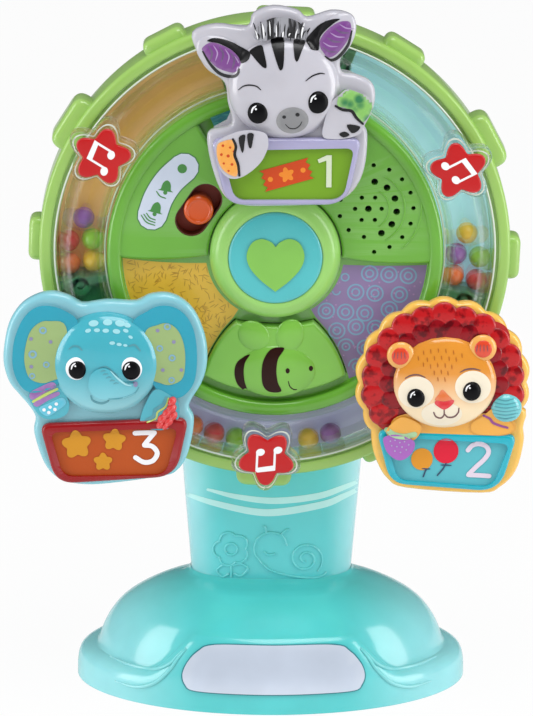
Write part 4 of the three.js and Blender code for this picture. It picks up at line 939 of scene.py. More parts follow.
def sectorLoop(start, end, side, inset=0.0):
    inner, outer = face["hub"] + 0.3, face["radius"] - face["rimWidth"] / 2 - inset
    lowX, lowZ = polar((inner + outer) / 2, end if side < 0 else start)
    middle = (lowX, lowZ - face["sag"])
    far, near = arcPoints(outer, start, end), arcPoints(inner, end, start)
    if side < 0:
        return far[:-1] + quadCurve(polar(outer, end), middle, polar(inner, end))[:-1] + near
    return far[:-1] + near[:-1] + quadCurve(polar(inner, start), middle, polar(outer, start))[:-1]


def grilleSpots():
    spots = [(grille["x"], grille["z"], grille["large"])]
    for radius, count, size, start, end in grille["rings"]:
        for i in range(count):
            x, z = polar(radius, start + (end - start) * i / (count - 1))
            spots.append((grille["x"] + x, grille["z"] + z, grille[size]))
    return spots


def makeFacePlate():
    f = face
    inner = f["radius"] - f["rimWidth"]
    disc = spunMesh("faceDisc", roundedProfile([
        (f["bore"], f["back"]), (f["radius"], f["back"]), (f["radius"], f["rimFront"], f["rolled"]),
        (inner, f["rimFront"], f["rolled"]), (inner, f["panel"], 0.8), (f["bore"], f["panel"])]), sides=160)

    def sector(start, end, side):
        return plateMesh("sector", [onAxis(sectorLoop(start, end, side))], f["sectorBack"], f["sector"],
                         f["sectorRound"], 5)

    def tool(outlines):
        return plateMesh("tool", [onAxis(outline) for outline in outlines], f["toolBack"], f["toolFront"])

    def slotTool():
        return tool([stadiumLoop(f["slotX"], f["slotZ"], f["slotHalf"], f["slotRadius"], f["slotSlope"])])

    def soundTool():
        return tool([ring(x, z, radius, 18) for x, z, radius in grilleSpots()])

    disc = carved(carved(carved(disc, tool([bellLoop(f["bellGap"])])), slotTool()), soundTool())
    left = carved(sector(*f["raisedLeft"], -1), slotTool())
    right = carved(sector(*f["raisedRight"], 1), soundTool())
    piece = asPiece("facePlate", joined("facePlate", [disc, left, right]), "lime", "stand", 30,
                    "face_plate")
    even = piece.modifiers.new("even", "WEIGHTED_NORMAL")
    even.keep_sharp = True
    return piece


hub = {"bezel": [(27.9, -36.3), (27.8, -38.6), (26.9, -41.4), (25, -43.7), (22.4, -45), (20.6, -45.2)],
       "bezelInside": [(19.95, -44.7), (19.95, -41.7), (14, -41.7)], "bezelFoot": (14, -36.3),
       "disc": [
           (0, -42), (19.85, -42), (19.85, -44.8), (19.3, -45.4), (18.4, -45.62), (12, -45.7), (0, -45.75)],
       "heartSize": 12.2, "heartZ": -1.6, "heartHeight": 1.0, "heartSeat": -45.2,
       "heart": [
           (0, 0.55), (0.16, 0.73), (0.5, 0.84), (0.83, 0.68), (1, 0.25), (0.88, -0.2), (0.5, -0.65),
           (0, -1.05)]}


def makeHub():
    profile = [hub["bezelFoot"]] + [tuple(p) for p in smoothPath(hub["bezel"], 6)] + hub["bezelInside"]
    asPiece("hubBezel", spunMesh("hubBezel", profile, 160), "limeFrosted", "stand", 50, "hub_bezel")
    asPiece("hubDisc", spunMesh("hubDisc", hub["disc"], 128), "teal", "stand", 50, "hub_disc")
    size, z = hub["heartSize"], hub["heartZ"]
    right = smoothPath([(size * u, z + size * v) for u, v in hub["heart"]], 5)
    loop = [tuple(p) for p in right] + [(-p.x, p.y) for p in reversed(right[1:-1])]
    heart = puffMesh("heartCap", onAxis(loop), hub["heartSeat"], hub["heartHeight"], 1.0, steps=5,
                     wallHeight=0.1)
    asPiece("heartCap", heart, "heart", "stand", 40, "heart_cap")


slide = {"knob": [
    (0, -33.4), (6.3, -33.4), (6.3, -41.0, 1.2), (4.9, -41.8, 0.4), (4.3, -41.3, 0.4), (0, -41.1)],
         "sheetMargin": 2.2, "sheetBack": -31.9, "sheetFront": -33.2, "lipBack": -33.7, "lipFront": -39.6,
         "lipInside": 6.45, "hollowBack": -30, "hollowFront": -45}


def makeSlide():
    x, z, half, radius, slope = (face["slot" + key] for key in ("X", "Z", "Half", "Radius", "Slope"))
    cap = spunMesh("knobCap", roundedProfile(slide["knob"]), 64, x, axisZ + z)
    asPiece("knobCap", cap, "orange", "volume_slider", 40, "volume_knob")
    margin = slide["sheetMargin"]
    loop = onAxis(stadiumLoop(x, z, half * 2 + margin, radius + margin, slope))
    sheet = plateMesh("knobSheet", [loop], slide["sheetBack"], slide["sheetFront"], 0.2)
    asPiece("knobSheet", sheet, "maroon", "volume_slider", 40, "volume_knob")
    collar = plateMesh("slotLip", [onAxis(stadiumLoop(x, z, half, radius, slope))], slide["lipBack"],
                       slide["lipFront"])
    hollow = plateMesh("slotHollow", [onAxis(stadiumLoop(x, z, half, slide["lipInside"], slope))],
                       slide["hollowBack"], slide["hollowFront"])
    asPiece("slotLip", carved(collar, hollow), "orangeDeep", "stand", 40)


bee = {"bodyX": 0.6, "bodyZ": -50.9, "bodySize": (17.2, 2.4, 11.4), "wingZ": -35.2,
       "wingSize": (7.4, 1.7, 6.2), "wings": [("Left", -9.0, -35), ("Right", 6.4, 70)],
       "eyes": [(5.7, -52.3), (15.6, -51.2)], "smile": [(6, -57), (6.8, -59.4), (8.4, -60.6), (9.6, -60.6)],
       "stripes": [
           [(-10.5, -45), (-15.5, -48), (-17, -53), (-15.5, -58.5), (-11.5, -61.5), (-12.6, -57),
            (-13, -52.5), (-12.4, -48.5)],
           [(-1.2, -42.6), (4.2, -42.2), (1.6, -47), (0.9, -52.5), (1.6, -57.6), (3, -61.4), (-2, -61.6),
            (-4.8, -58.6), (-5.4, -52.6), (-4.4, -47)]]}


def makeBeeButton():
    front = face["bellFront"]

    def form(name, mesh, sharpAngle=60):
        return asPiece(name, mesh, "limeBee", "bee_press", sharpAngle, "bee_button")

    forms = [
        form("beeTop", plateMesh("beeTop", [onAxis(bellLoop(0))], -34, front, 1.5, 5), 30),
        form("beeBody", eggMesh("beeBody", bee["bodyX"], front + 0.6, axisZ + bee["bodyZ"],
                                *bee["bodySize"], squareness=2.3))]
    for side, x, turn in bee["wings"]:
        forms.append(form("beeWing" + side,
                          eggMesh("beeWing", x, front + 0.5, axisZ + bee["wingZ"], *bee["wingSize"], turn)))
    target = surfaceOf(*forms)

    def mark(name, outlines, **options):
        printed(name, [onAxis(o) for o in outlines], target, face["panel"], "brownInk", "bee_press",
                **options)

    mark("beeStripes", [smoothLoop(stripe) for stripe in bee["stripes"]], lift=0.16, cell=0.9)
    mark("beeSmile", [stroke(bee["smile"], 0.5, 0.7)])
    mark("beeEyes", [ring(x, z, 0.9, 20, 1.3) for x, z in bee["eyes"]], lift=0.1)


facePlate = makeFacePlate()
makeHub()
makeSlide()
makeBeeButton()
print("drum face made")


# Printed pictures of the drum face, drawn where the camera sees them on its panel
def onPanel(name, outlines, finish, **options):
    printed(name, [onAxis(o) for o in outlines], faceSurface, face["panel"], finish, "stand", **options)


def bellIcon(x, z, size, turn):
    shape = [
        (-1, -0.62), (-0.72, -0.4), (-0.62, 0.25), (-0.4, 0.7), (0, 0.95), (0.4, 0.7), (0.62, 0.25),
        (0.72, -0.4), (1, -0.62)]
    loop = smoothLoop([(u * size, v * size) for u, v in shape], 3)
    clapper = ring(0, -0.85 * size, 0.3 * size, 10)
    return [turnedOutline(loop, x, z, turn), turnedOutline(clapper, x, z, turn)]


def soundArcs(x, z, radii):
    arcs = [[polar(radius, angle) for angle in (200, 232, 264)] for radius in radii]
    return [stroke(shifted(arc, x, z), 0.55, 0.8) for arc in arcs]


# Three fixed pseudo-random values from 0 to 1 for each spot
def scatter(count, seed):
    spots, state, span = [], seed, 2 ** 31
    for i in range(count):
        values = []
        for k in range(3):
            state = (state * 1103515245 + 12345) % span
            values.append(state / span)
        spots.append(values)
    return spots


def insideLoop(x, z, loop):
    hit = False
    for (x0, z0), (x1, z1) in zip(loop, loop[1:] + loop[:1]):
        if (z0 > z) != (z1 > z) and x < (x1 - x0) * (z - z0) / (z1 - z0) + x0:
            hit = not hit
    return hit


# Picture fields between the hub, the button and the raised sectors
field = {"outer": 64.6, "inner": 29.4,
         "flank": [(17.6, -28.6), (22.6, -34.5), (27.2, -42.2), (30.6, -51), (31.9, -55.6)],
         "left": (182.2, 189, -5.0), "right": (355.2, 349.5, -6.2),
         "capsule": [(-38.5, 37), (-44.6, 31.2), (-49.2, 24), (-52, 16)], "capsuleWidth": 12.2,
         "grains": 520, "grainHalf": 1.25, "dots": 90, "rings": 42,
         "ripples": [(8.8, -60, 60), (15.4, -62, 66), (22.4, -50, 30)], "silent": (-39.3, 36.5, 2),
         "bells": [((-46, 28.6, 3.0, -10), (-45.8, 28.2, (4.6,))),
                   ((-50.3, 19.2, 3.0, -15), (-50.2, 18.6, (4.4, 5.6, 6.8)))],
         "ringPlace": (21.4, -9.8), "ringStep": (8.9, -7.9), "ringShift": 4.4, "ringStray": 2.2,
         "topFrom": 62.5, "topTo": 117.5, "topInner": 30}


def fieldLoop(side):
    flank = [(side * x, z) for x, z in field["flank"]]
    outer, inner = field["outer"], field["inner"]
    outerEnd, innerEnd = (math.degrees(math.atan2(z, x)) % 360 for x, z in (flank[-1], flank[0]))
    outerStart, innerStart, bend = field["left" if side < 0 else "right"]
    top = quadCurve(polar(outer, outerStart), (side * 48, bend), polar(inner, innerStart))
    return (arcPoints(outer, outerStart, outerEnd)[:-1] + flank[::-1]
            + arcPoints(inner, innerEnd, innerStart)[:-1] + top[::-1][:-1])


def makeFacePrints():
    width = field["capsuleWidth"]
    onPanel("volumeLabelEdge", [stroke(field["capsule"], width + 1)], "darkGreenInk", lift=0.06)
    onPanel("volumeLabel", [stroke(field["capsule"], width)], "silver", lift=0.12)
    icons = [ring(*field["silent"], 24)]
    for bell, arcs in field["bells"]:
        icons += bellIcon(*bell) + soundArcs(*arcs)
    onPanel("volumeIcons", icons, "greenInk", lift=0.2)
    yellow, purple = fieldLoop(-1), fieldLoop(1)

    onPanel("yellowField", [yellow], "yellowField", cell=2.4)
    grains = []
    for a, b, turn in scatter(field["grains"], 7):
        x, z = blended(-65, -17, a), blended(-58, -3, b)
        dx, dz = polar(field["grainHalf"], turn * 180)
        ends = [(x - dx, z - dz), (x + dx, z + dz)]
        if all(insideLoop(*end, yellow) for end in ends):
            grains.append(stroke(ends, 0.38, 0.5))
    onPanel("yellowGrains", grains, "yellowGrain", lift=0.11, cell=9)

    onPanel("purpleField", [purple], "purpleField", cell=2.4)
    rings, dots = [], []
    (placeX, placeZ), (stepX, stepZ) = field["ringPlace"], field["ringStep"]
    for i in range(field["rings"]):
        row, column = divmod(i, 6)
        (a, b, turn), = scatter(1, 13 * i + 5)
        x = placeX + stepX * column + field["ringShift"] * (row % 2) + field["ringStray"] * (a - 0.5)
        z = placeZ + stepZ * row + field["ringStray"] * (b - 0.5)
        if insideLoop(x, z, purple):
            rings += ringBand(x, z, 3.7, 3.0) + ringBand(x, z, 1.9, 1.25)
    for a, b, turn in scatter(field["dots"], 11):
        x, z = blended(20, 63, a), blended(-56, -5, b)
        if insideLoop(x, z, purple):
            dots.append(ring(x, z, 0.4, 8))
    rings = [band for band in rings if all(insideLoop(*point, purple) for point in band[::5])]
    onPanel("purpleRings", rings, "skyInk", lift=0.11, cell=9)
    onPanel("purpleDots", dots, "pinkInk", lift=0.11, cell=9)

    start, end = field["topFrom"], field["topTo"]
    top = arcPoints(field["outer"], start, end)[:-1] + arcPoints(field["topInner"], end, start)
    onPanel("tealField", [top], "tealField", cell=4)
    ridges = []
    for radius, start, end in field["ripples"]:
        arc = [(x + grille["x"], z + grille["z"]) for x, z in arcPoints(radius, start, end, 14)]
        ridges.append(plateMesh("ripple", [onAxis(stroke(arc, 0.9, 0.4, 2))], face["sector"] + 0.4,
                                face["sector"] - 0.32, 0.25, 3))
    asPiece("grilleRipples", joined("grilleRipples", ridges), "lime", "stand", 40)


faceSurface = surfaceOf(facePlate)
makeFacePrints()
print("drum face printed")


# Wheel: a tray with grip lobes, coloured floors, a clear cover, stars and beads
wheel = {"radius": 100, "bore": 65.7, "back": -14, "front": -34, "ledge": -31.6, "rimWidth": 5.1,
         "channelIn": 70.2, "channelOut": 92.4, "floor": -16.5, "starPlace": 86, "starSeat": -51.8,
         "pivot": 83, "lobes": 12, "smallLobe": (4.4, 19, 13), "largeLobe": (5.9, 24, 15),
         "lowLobe": (2.8, 25, 15), "lobeY": -24, "lobeSunk": 4.9, "lobeFoot": 2.7,
         "lobeRounding": 2.6, "leastCorner": 3.6}
starAngles = {"right": 30, "left": 150, "bottom": 270}
animalAngles = {"zebra": 90, "elephant": 210, "lion": 330}
wheelTurn = -math.degrees(restTurn)


def onWheel(outline):
    return turnedOutline(outline, axisX, axisZ, wheelTurn)


def makeRim():
    w = wheel
    inside = w["radius"] - w["rimWidth"]
    tray = spunMesh("tray", roundedProfile([
        (w["bore"], w["back"]), (w["radius"], w["back"], 1.6), (w["radius"], w["front"], 2.3),
        (inside, w["front"], 1.3), (inside, w["ledge"]), (w["channelOut"], w["ledge"]),
        (w["channelOut"], w["floor"], 0.6), (w["channelIn"], w["floor"], 0.6), (w["channelIn"], w["ledge"]),
        (w["bore"], w["ledge"])]), sides=180)
    lobes = []
    for i in range(w["lobes"]):
        reach, width, depth = w["lowLobe"] if i % 4 == 3 else w["largeLobe"] if i % 2 else w["smallLobe"]
        root, tip, half = w["radius"] - w["lobeSunk"], w["radius"] + reach, width / 2
        corner, foot = max(reach - 0.6, w["leastCorner"]), w["lobeFoot"]
        loop = roundedCorners([(root, -half), (tip, -half), (tip, half), (root, half)],
                              [foot, corner, corner, foot], 6)
        loop = onWheel(turnedOutline(loop, 0, 0, i * 360 / w["lobes"]))
        lobes.append(plateMesh("lobe", [loop], w["lobeY"] + depth / 2, w["lobeY"] - depth / 2,
                               w["lobeRounding"], 4))
    asPiece("wheelRim", joined("wheelRim", [tray, *lobes]), "limePale", "wheel", 40, "wheel_rim")


def wedgeTool(start, end, radius=125):
    return plateMesh("wedge", [onWheel([(0, 0)] + arcPoints(radius, start, end, 24))], 10, -60)


# The channel's inside: its two walls and its floor, with a little room
def channelInside():
    return wheel["channelIn"] + 0.3, wheel["channelOut"] - 0.3, wheel["floor"] - 0.3


def ringPart(profile, start, end):
    return carved(spunMesh("part", profile, 180), wedgeTool(start, end), "INTERSECT")


# A floor with a ridge along its middle, as (distance in from a wall or out from the middle, height)
liner = {"reach": 40, "edge": 2.4, "hollow": (3.1, 1.5), "slope": (2.6, 1.3), "ridge": 2.4}


def makeLiners():
    a, b, y = channelInside()
    mid, edge, ridge, reach = (a + b) / 2, y - liner["edge"], y - liner["ridge"], liner["reach"]
    (inward, hollow), (aside, slope) = liner["hollow"], liner["slope"]
    line = [(a, y), (b, y), (b, edge), (b - inward, y - hollow), (mid + aside, y - slope), (mid, ridge),
            (mid - aside, y - slope), (a + inward, y - hollow), (a, edge)]
    for side, colour in (("right", "teal"), ("left", "orange"), ("bottom", "purple")):
        mesh = ringPart(line, starAngles[side] - reach, starAngles[side] + reach)
        name = "liner" + colour.title()
        asPiece(name, mesh, name, "wheel", 40, "liner_" + colour)


bracket = {"half": 19, "wallFrom": 16.6, "bossPlace": 84, "leafPlace": 81, "leafAngle": 13.4,
           "leafTurn": 55, "leaf": [(-7, -1.5), (-2.6, -5), (3, -4.4), (6.6, 0.8), (2.6, 4.6), (-3, 4)],
           "postFront": -43, "postInside": 3.3, "postOutside": 7.2, "bossRadius": 4.4, "screwRadius": 1.7,
           "screwHeight": 2.4}


def makeBrackets():
    w, p = wheel, bracket
    a, b, y = channelInside()
    top = w["ledge"]
    head = top + p["screwHeight"]
    web = roundedProfile([(a, y), (b, y), (b, y - 2, 0.4), (a, y - 2, 0.4)])
    wall = roundedProfile([(a, y), (b, y), (b, top, 0.5), (a, top, 0.5)])
    boss = roundedProfile([
        (0, y), (p["bossRadius"], y), (p["bossRadius"], top, 0.6), (p["screwRadius"], top, 0.3),
        (p["screwRadius"] - 0.2, head), (0, head)])
    inside, outside, front = p["postInside"], p["postOutside"], p["postFront"]
    post = roundedProfile([(inside, y), (outside, y), (outside, front, 0.6), (inside, front, 0.3)])
    for animal, angle in animalAngles.items():
        parts = [ringPart(web, angle - p["half"], angle + p["half"])]
        for side in (-1, 1):
            near, far = sorted((side * p["wallFrom"], side * p["half"]))
            parts.append(ringPart(wall, angle + near, angle + far))
            (x, z), = onWheel([polar(p["bossPlace"], angle + side * p["wallFrom"])])
            parts.append(spunMesh("boss", boss, 32, x, z))
            u, v = polar(p["leafPlace"], angle + side * p["leafAngle"])
            leaf = turnedOutline(smoothLoop(p["leaf"], 5), u, v, angle + side * p["leafTurn"])
            parts.append(plateMesh("leaf", [onWheel(leaf)], y - 1, y - 12.5, 1.4, 4))
        (x, z), = onWheel([polar(w["pivot"], angle)])
        parts.append(spunMesh("post", post, 48, x, z))
        asPiece("bracket" + animal.title(), joined("bracket", parts), "darkGreen", "wheel", 40,
                "bracket_" + animal)


cover = {"crown": [
    (71.9, -33.2), (73.2, -37.4), (76.4, -40.3), (81.3, -41.2), (86.4, -40.3), (89.8, -37.6),
    (92.9, -33.4)],
         "under": [
             (91, -32.1), (88.6, -36.4), (85.8, -38.9), (81.3, -39.7), (76.8, -38.9), (74.4, -36.6),
             (73, -32)], "pinRoom": 7.6, "pinBack": -20, "pinFront": -50, "inside": 66, "outside": 94.6,
         "footFront": -33.4, "footBack": -32.1, "edges": [("Outer", 93.3, -33.7), ("Inner", 72.0, -33.9)]}
star = {"block": 15.4, "face": 12.2, "seatBack": -41.3, "front": -53.9, "edgeOut": 14.0, "edgeIn": 13.4,
        "note": [
            (-3.95, -3.8), (-3, -3.8), (-3, 2.9), (3.5, 4.1), (3.5, -2.6), (4.45, -2.6), (4.45, 6.4),
            (-3.95, 5.1)], "noteHeads": [(-4.7, -4), (2.7, -2.8)]}


def makeCover():
    crown, under = ([tuple(p) for p in smoothPath(cover[key], 5)] for key in ("crown", "under"))
    inside, outside, front, back = (cover[key] for key in ("inside", "outside", "footFront", "footBack"))
    profile = [
        (inside, front + 0.2), *crown, (outside, front), (outside, back), *under, (inside, back + 0.2)]
    mesh = spunMesh("coverArch", profile, sides=180)
    for angle in animalAngles.values():
        (x, z), = onWheel([polar(wheel["pivot"], angle)])
        mesh = carved(mesh, spunMesh("pinTool", [
            (0, cover["pinBack"]), (cover["pinRoom"], cover["pinBack"]),
            (cover["pinRoom"], cover["pinFront"]), (0, cover["pinFront"])], 40, x, z))
    asPiece("chamberCover", mesh, "clear", "wheel", 35, "chamber_cover")
    # Pale beads at the cover's feet: painted highlights of its clear edges
    for name, radius, y in cover["edges"]:
        line = [(radius + u, y + v) for u, v in ring(0, 0, 0.42, 12)]
        asPiece("coverEdge" + name, spunMesh("edge", line, 180), "bright", "wheel", 60)


def makeStars():
    seat = wheel["starSeat"]
    for side, angle in starAngles.items():
        (x, z), = onWheel([polar(wheel["starPlace"], angle)])
        side, turn = side.title(), angle + wheelTurn
        block, front, outer, inner = (starLoop(x, z, star[key], turn=turn)
                                      for key in ("block", "face", "edgeOut", "edgeIn"))
        asPiece("starBlock" + side, plateMesh("block", [block], star["seatBack"], seat, 1.6, 4), "clear",
                "wheel", 35, "chamber_cover")
        starPiece = asPiece("star" + side, plateMesh("star", [front], seat - 0.2, star["front"], 0.8, 4),
                            "red", "wheel", 35, "star_" + side.lower())
        # A pale band round each star: painted highlight of the clear block's edge
        half = len(outer) // 2
        bands = [
            outer[:half + 1] + inner[:half + 1][::-1],
            outer[half:] + outer[:1] + inner[:1] + inner[half:][::-1]]
        asPiece("starEdge" + side, plateMesh("edge", bands, seat + 0.2, seat - 0.2), "bright", "wheel", 35)
        note = [star["note"]] + [ring(u, v, 1.9, 24, 0.82, 20) for u, v in star["noteHeads"]]
        printed("note" + side, [turnedOutline(o, x, z, turn - 90) for o in note], surfaceOf(starPiece),
                star["front"], "whiteInk", "wheel", square=True, lift=0.1)


bead = {"radius": 4.6, "seam": 0.07, "colours": {
    "orange": (238, 112, 36), "red": (216, 48, 44), "purple": (150, 92, 172), "green": (150, 204, 52),
    "yellow": (244, 198, 48)}}
for colour, shade in bead["colours"].items():
    finishes[colour + "Bead"] = mouldedPlastic(colour + "Bead", shade, 0.08, softness=0.25, grain=0.0,
                                               ripple=0.01, coat=0.8)


def makeBeads():
    for side in chambers:
        for colour in bead["colours"]:
            node = "bead_%s_%s" % (side, colour)
            low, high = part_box(node)
            middle = (low + high) / 2 / mm
            line = []
            for k in range(33):
                angle = math.pi * k / 32
                reach = bead["radius"] + bead["seam"] * math.exp(-((k - 16) / 0.8) ** 2)
                line.append((reach * math.sin(angle), middle.y - reach * math.cos(angle)))
            line[0], line[-1] = (0, line[0][1] + 0.05), (0, line[-1][1] - 0.05)
            asPiece("bead" + side.title() + colour.title(),
                    spunMesh(node, line, 40, middle.x, middle.z, closed=False), colour + "Bead",
                    "beads_" + side, 60, node)


makeRim()
makeLiners()
makeBrackets()
makeCover()
makeStars()
makeBeads()
print("wheel made")


# Shades of the three animals and their baskets
plainShades = {"zebraWhite": (190, 188, 196), "earPurple": (122, 68, 138), "earDeep": (82, 40, 100),
               "earLight": (160, 124, 178), "lavender": (166, 162, 196), "grassField": (114, 158, 36),
               "ticket": (196, 70, 28), "ticketStar": (226, 132, 44), "muzzleGrey": (132, 132, 134),
               "hoofOrange": (238, 160, 62), "elephantSkin": (74, 176, 192),
               "elephantBorder": (136, 200, 212), "earBlue": (4, 154, 178), "earLime": (150, 176, 110),
               "earRing": (128, 172, 196), "earSpot": (140, 136, 170), "browTeal": (34, 142, 156),
               "paleBlotch": (148, 214, 222), "cuffPurple": (150, 98, 170), "cuffLime": (186, 206, 80),
               "cuffBlue": (84, 190, 214), "ruffleRed": (218, 62, 62), "basketRed": (150, 12, 18),
               "orangeField": (182, 80, 28), "goldStar": (208, 144, 38), "lionBorder": (244, 190, 84),
               "maneRed": (176, 26, 28), "maneDeep": (128, 8, 16), "lionCream": (246, 232, 206),
               "lionEarRim": (236, 172, 86), "lionEar": (222, 70, 38), "noseRed": (218, 26, 40),
               "noseOrange": (226, 110, 34), "browBrown": (92, 24, 20), "dashBrown": (182, 104, 34),
               "lionArm": (236, 170, 66), "lace": (170, 206, 160), "pawPurple": (164, 92, 182),
               "pawTeal": (112, 200, 206), "bandPurple": (150, 80, 140), "basketAqua": (0, 172, 190),
               "skyField": (92, 182, 192), "balloonOrange": (222, 148, 44), "balloonRed": (218, 30, 56),
               "palePink": (222, 208, 222), "numberPale": (206, 216, 188)}
matte = ("grassField", "ticket", "ticketStar", "orangeField", "goldStar", "skyField", "balloonOrange",
         "balloonRed", "palePink", "numberPale", "earRing", "earSpot", "dashBrown", "bandPurple", "lace")
deep = ("basketRed", "maneRed", "maneDeep", "earPurple", "earDeep", "noseRed", "browBrown", "ruffleRed")
for shade, colour in plainShades.items():
    flat = shade in matte
    finishes[shade] = mouldedPlastic(shade, colour, 0.4 if flat else 0.18, edgeHighlight=0.0 if flat else 0.08,
                                     softness=0.0 if flat else 0.08, coat=0.1 if flat else 0.5,
                                     shine=0.2 if flat or shade in deep else 0.5)
finishes["hairGrey"] = mouldedPlastic("greyHair", (150, 150, 156), 0.2, coat=0.6,
                                      pattern=streaks((26, 26, 30), 330, (1, 1, 0.22), 0.52))
finishes["hoofGreen"] = mouldedPlastic("greenHoof", (130, 188, 92), 0.25,
                                       pattern=speckle((36, 118, 70), 210, 0.34, soft=0.3))
for shade, colour, dark in (("maneGlow", (186, 26, 30), (128, 8, 16)),
                            ("maneDark", (142, 10, 22), (92, 2, 12))):
    finishes[shade] = mouldedPlastic(shade, colour, 0.14, coat=0.6, softness=0.08, ripple=0.35, shine=0.1,
                                     pattern=streaks(dark, 260, (1, 1, 1), 0.55))
finishes["elephantFace"] = mouldedPlastic("elephantFace", (140, 206, 216), 0.16, coat=0.5, softness=0.08,
    pattern=fadeUp((70, 174, 190), pivots["elephant"][1] - 22, pivots["elephant"][1] - 6))
finishes["lionSkin"] = mouldedPlastic("lionSkin", (250, 226, 186), 0.16, coat=0.5, softness=0.08,
    pattern=fadeUp((224, 146, 48), pivots["lion"][1] - 17, pivots["lion"][1] - 1))


# Gondolas: a border plate with a raised animal, and a basket with a number
gondola = {"back": -49.3, "front": -55.7, "sheet": -56, "basketFront": -59.5, "fieldFront": -57.8,
           "rounding": 2.3, "corners": [4, 4, 12, 10], "fieldCorners": [3, 3, 7, 6], "sheetSlope": 0.2976}
sheetShift = {"zebra": (-3.33, -0.87), "elephant": (2.49, -2.36), "lion": (0.84, 3.41)}


# One gondola. Its outlines are laid out on a sheet at y = -56 as the camera sees them; what stands nearer
# moves up to cover its place. Its prints are each laid a little over the last
class Gondola:
    def __init__(self, animal, outlines, finish):
        self.animal, self.body, self.pieces, self.level = animal, animal + "_gondola", [], 0
        plates = [
            plateMesh("border", [self.onSheet(outline)], gondola["back"], gondola["front"],
                      gondola["rounding"], 5) for outline in outlines]
        mesh = plates[0]
        for more in plates[1:]:
            mesh = carved(mesh, more, "UNION")
        self.keep("Border", mesh, finish, 40)

    def onSheet(self, outline, y=-56):
        (px, pz), (dx, dz) = pivots[self.animal], sheetShift[self.animal]
        return shifted(outline, px + dx, pz + dz + (gondola["sheet"] - y) * gondola["sheetSlope"])

    def keep(self, name, mesh, finish, sharpAngle=60, node="_figure"):
        self.pieces.append(asPiece(self.animal + name, mesh, finish, self.body, sharpAngle,
                                   self.animal + node))

    def egg(self, name, x, z, y, wide, deep, tall, finish, turn=0, bulges=(), squareness=2.0, sides=64):
        (cx, cz), = self.onSheet([(x, z)], y - deep * 0.3)
        bumps = [
            (*self.onSheet([(bx, bz)], y - deep)[0], radius, height) for bx, bz, radius, height in bulges]
        self.keep(name, eggMesh(name, cx, y, cz, wide, deep, tall, turn, bumps, squareness, sides), finish)

    def puff(self, name, knots, base, height, reach, finish, knotSteps=5):
        loop = self.onSheet(smoothLoop(knots, knotSteps), base - height * 0.4)
        self.keep(name, puffMesh(name, loop, base, height, reach), finish)

    def basket(self, outer, inner, frameFinish, fieldFinish):
        front, fieldFront = gondola["basketFront"], gondola["fieldFront"]
        frame = plateMesh("frame", [self.onSheet(roundedCorners(outer, gondola["corners"]))],
                          gondola["front"] + 0.5, front, 1.7, 5)
        loop = self.onSheet(roundedCorners(inner, gondola["fieldCorners"]))
        frame = carved(frame, plateMesh("recess", [loop], fieldFront, front - 3))
        self.keep("BasketFrame", frame, frameFinish, 40, "_basket")
        floor = plateMesh("field", [loop], fieldFront + 0.4, fieldFront - 0.1)
        self.keep("BasketField", floor, fieldFinish, 40, "_basket")
        self.target = surfaceOf(*self.pieces)

    def draw(self, name, outlines, finish, cell=1.2, extraLift=0.0):
        self.level += 1
        printed(self.animal + name, [self.onSheet(o) for o in outlines], self.target, gondola["sheet"],
                finish, self.body, lift=0.09 + 0.012 * self.level + extraLift, cell=cell)

    def eyes(self, places, whites=0.0):
        for side, (x, z, radius) in zip(("Left", "Right"), places):
            (wx, wz), = self.onSheet([(x, z)])
            eye, aim = cameraPlace(), Vector((wx, gondola["sheet"], wz)) * mm
            place = self.target.ray_cast(eye, (aim - eye).normalized())[0] / mm
            if whites:
                rim = eggMesh("eyeWhite", place.x - 0.2, place.y + 0.3, place.z + 0.3, radius + whites, 1.5,
                              radius * 1.08 + whites)
                asPiece(self.animal + "EyeWhite" + side, rim, "whiteInk", self.body, 60)
            name = self.animal + "Eye" + side
            ball = eggMesh("eye", place.x, place.y + 0.1, place.z, radius, 2.1, radius * 1.07)
            ball = asPiece(name, ball, "glossBlack", self.body, 60)
            glint = stroke([(x - radius * 0.62, z + radius * 0.02), (x - radius * 0.5, z + radius * 0.42),
                            (x - radius * 0.2, z + radius * 0.68)], radius * 0.17, 0.6)
            dot = ring(x - radius * 0.2, z + radius * 0.36, radius * 0.1, 12)
            printed(name + "Glint", [self.onSheet(o) for o in (glint, dot)], surfaceOf(ball),
                    gondola["sheet"], "whiteInk", self.body, lift=0.08)


def waveRing(x, z, radius, swell, waves, steps, turn=0.0):
    out = []
    for i in range(steps):
        angle = math.tau * i / steps
        reach = radius + swell * abs(math.sin(angle * waves + turn))
        out.append((x + reach * math.cos(angle), z + reach * math.sin(angle)))
    return out


zebra = {"eyes": [(-7.9, -16.6, 4.3), (16.8, -12.1, 4.45)], "tufts": 34, "ticket": (4.2, -43),
         "ticketTurn": 16}


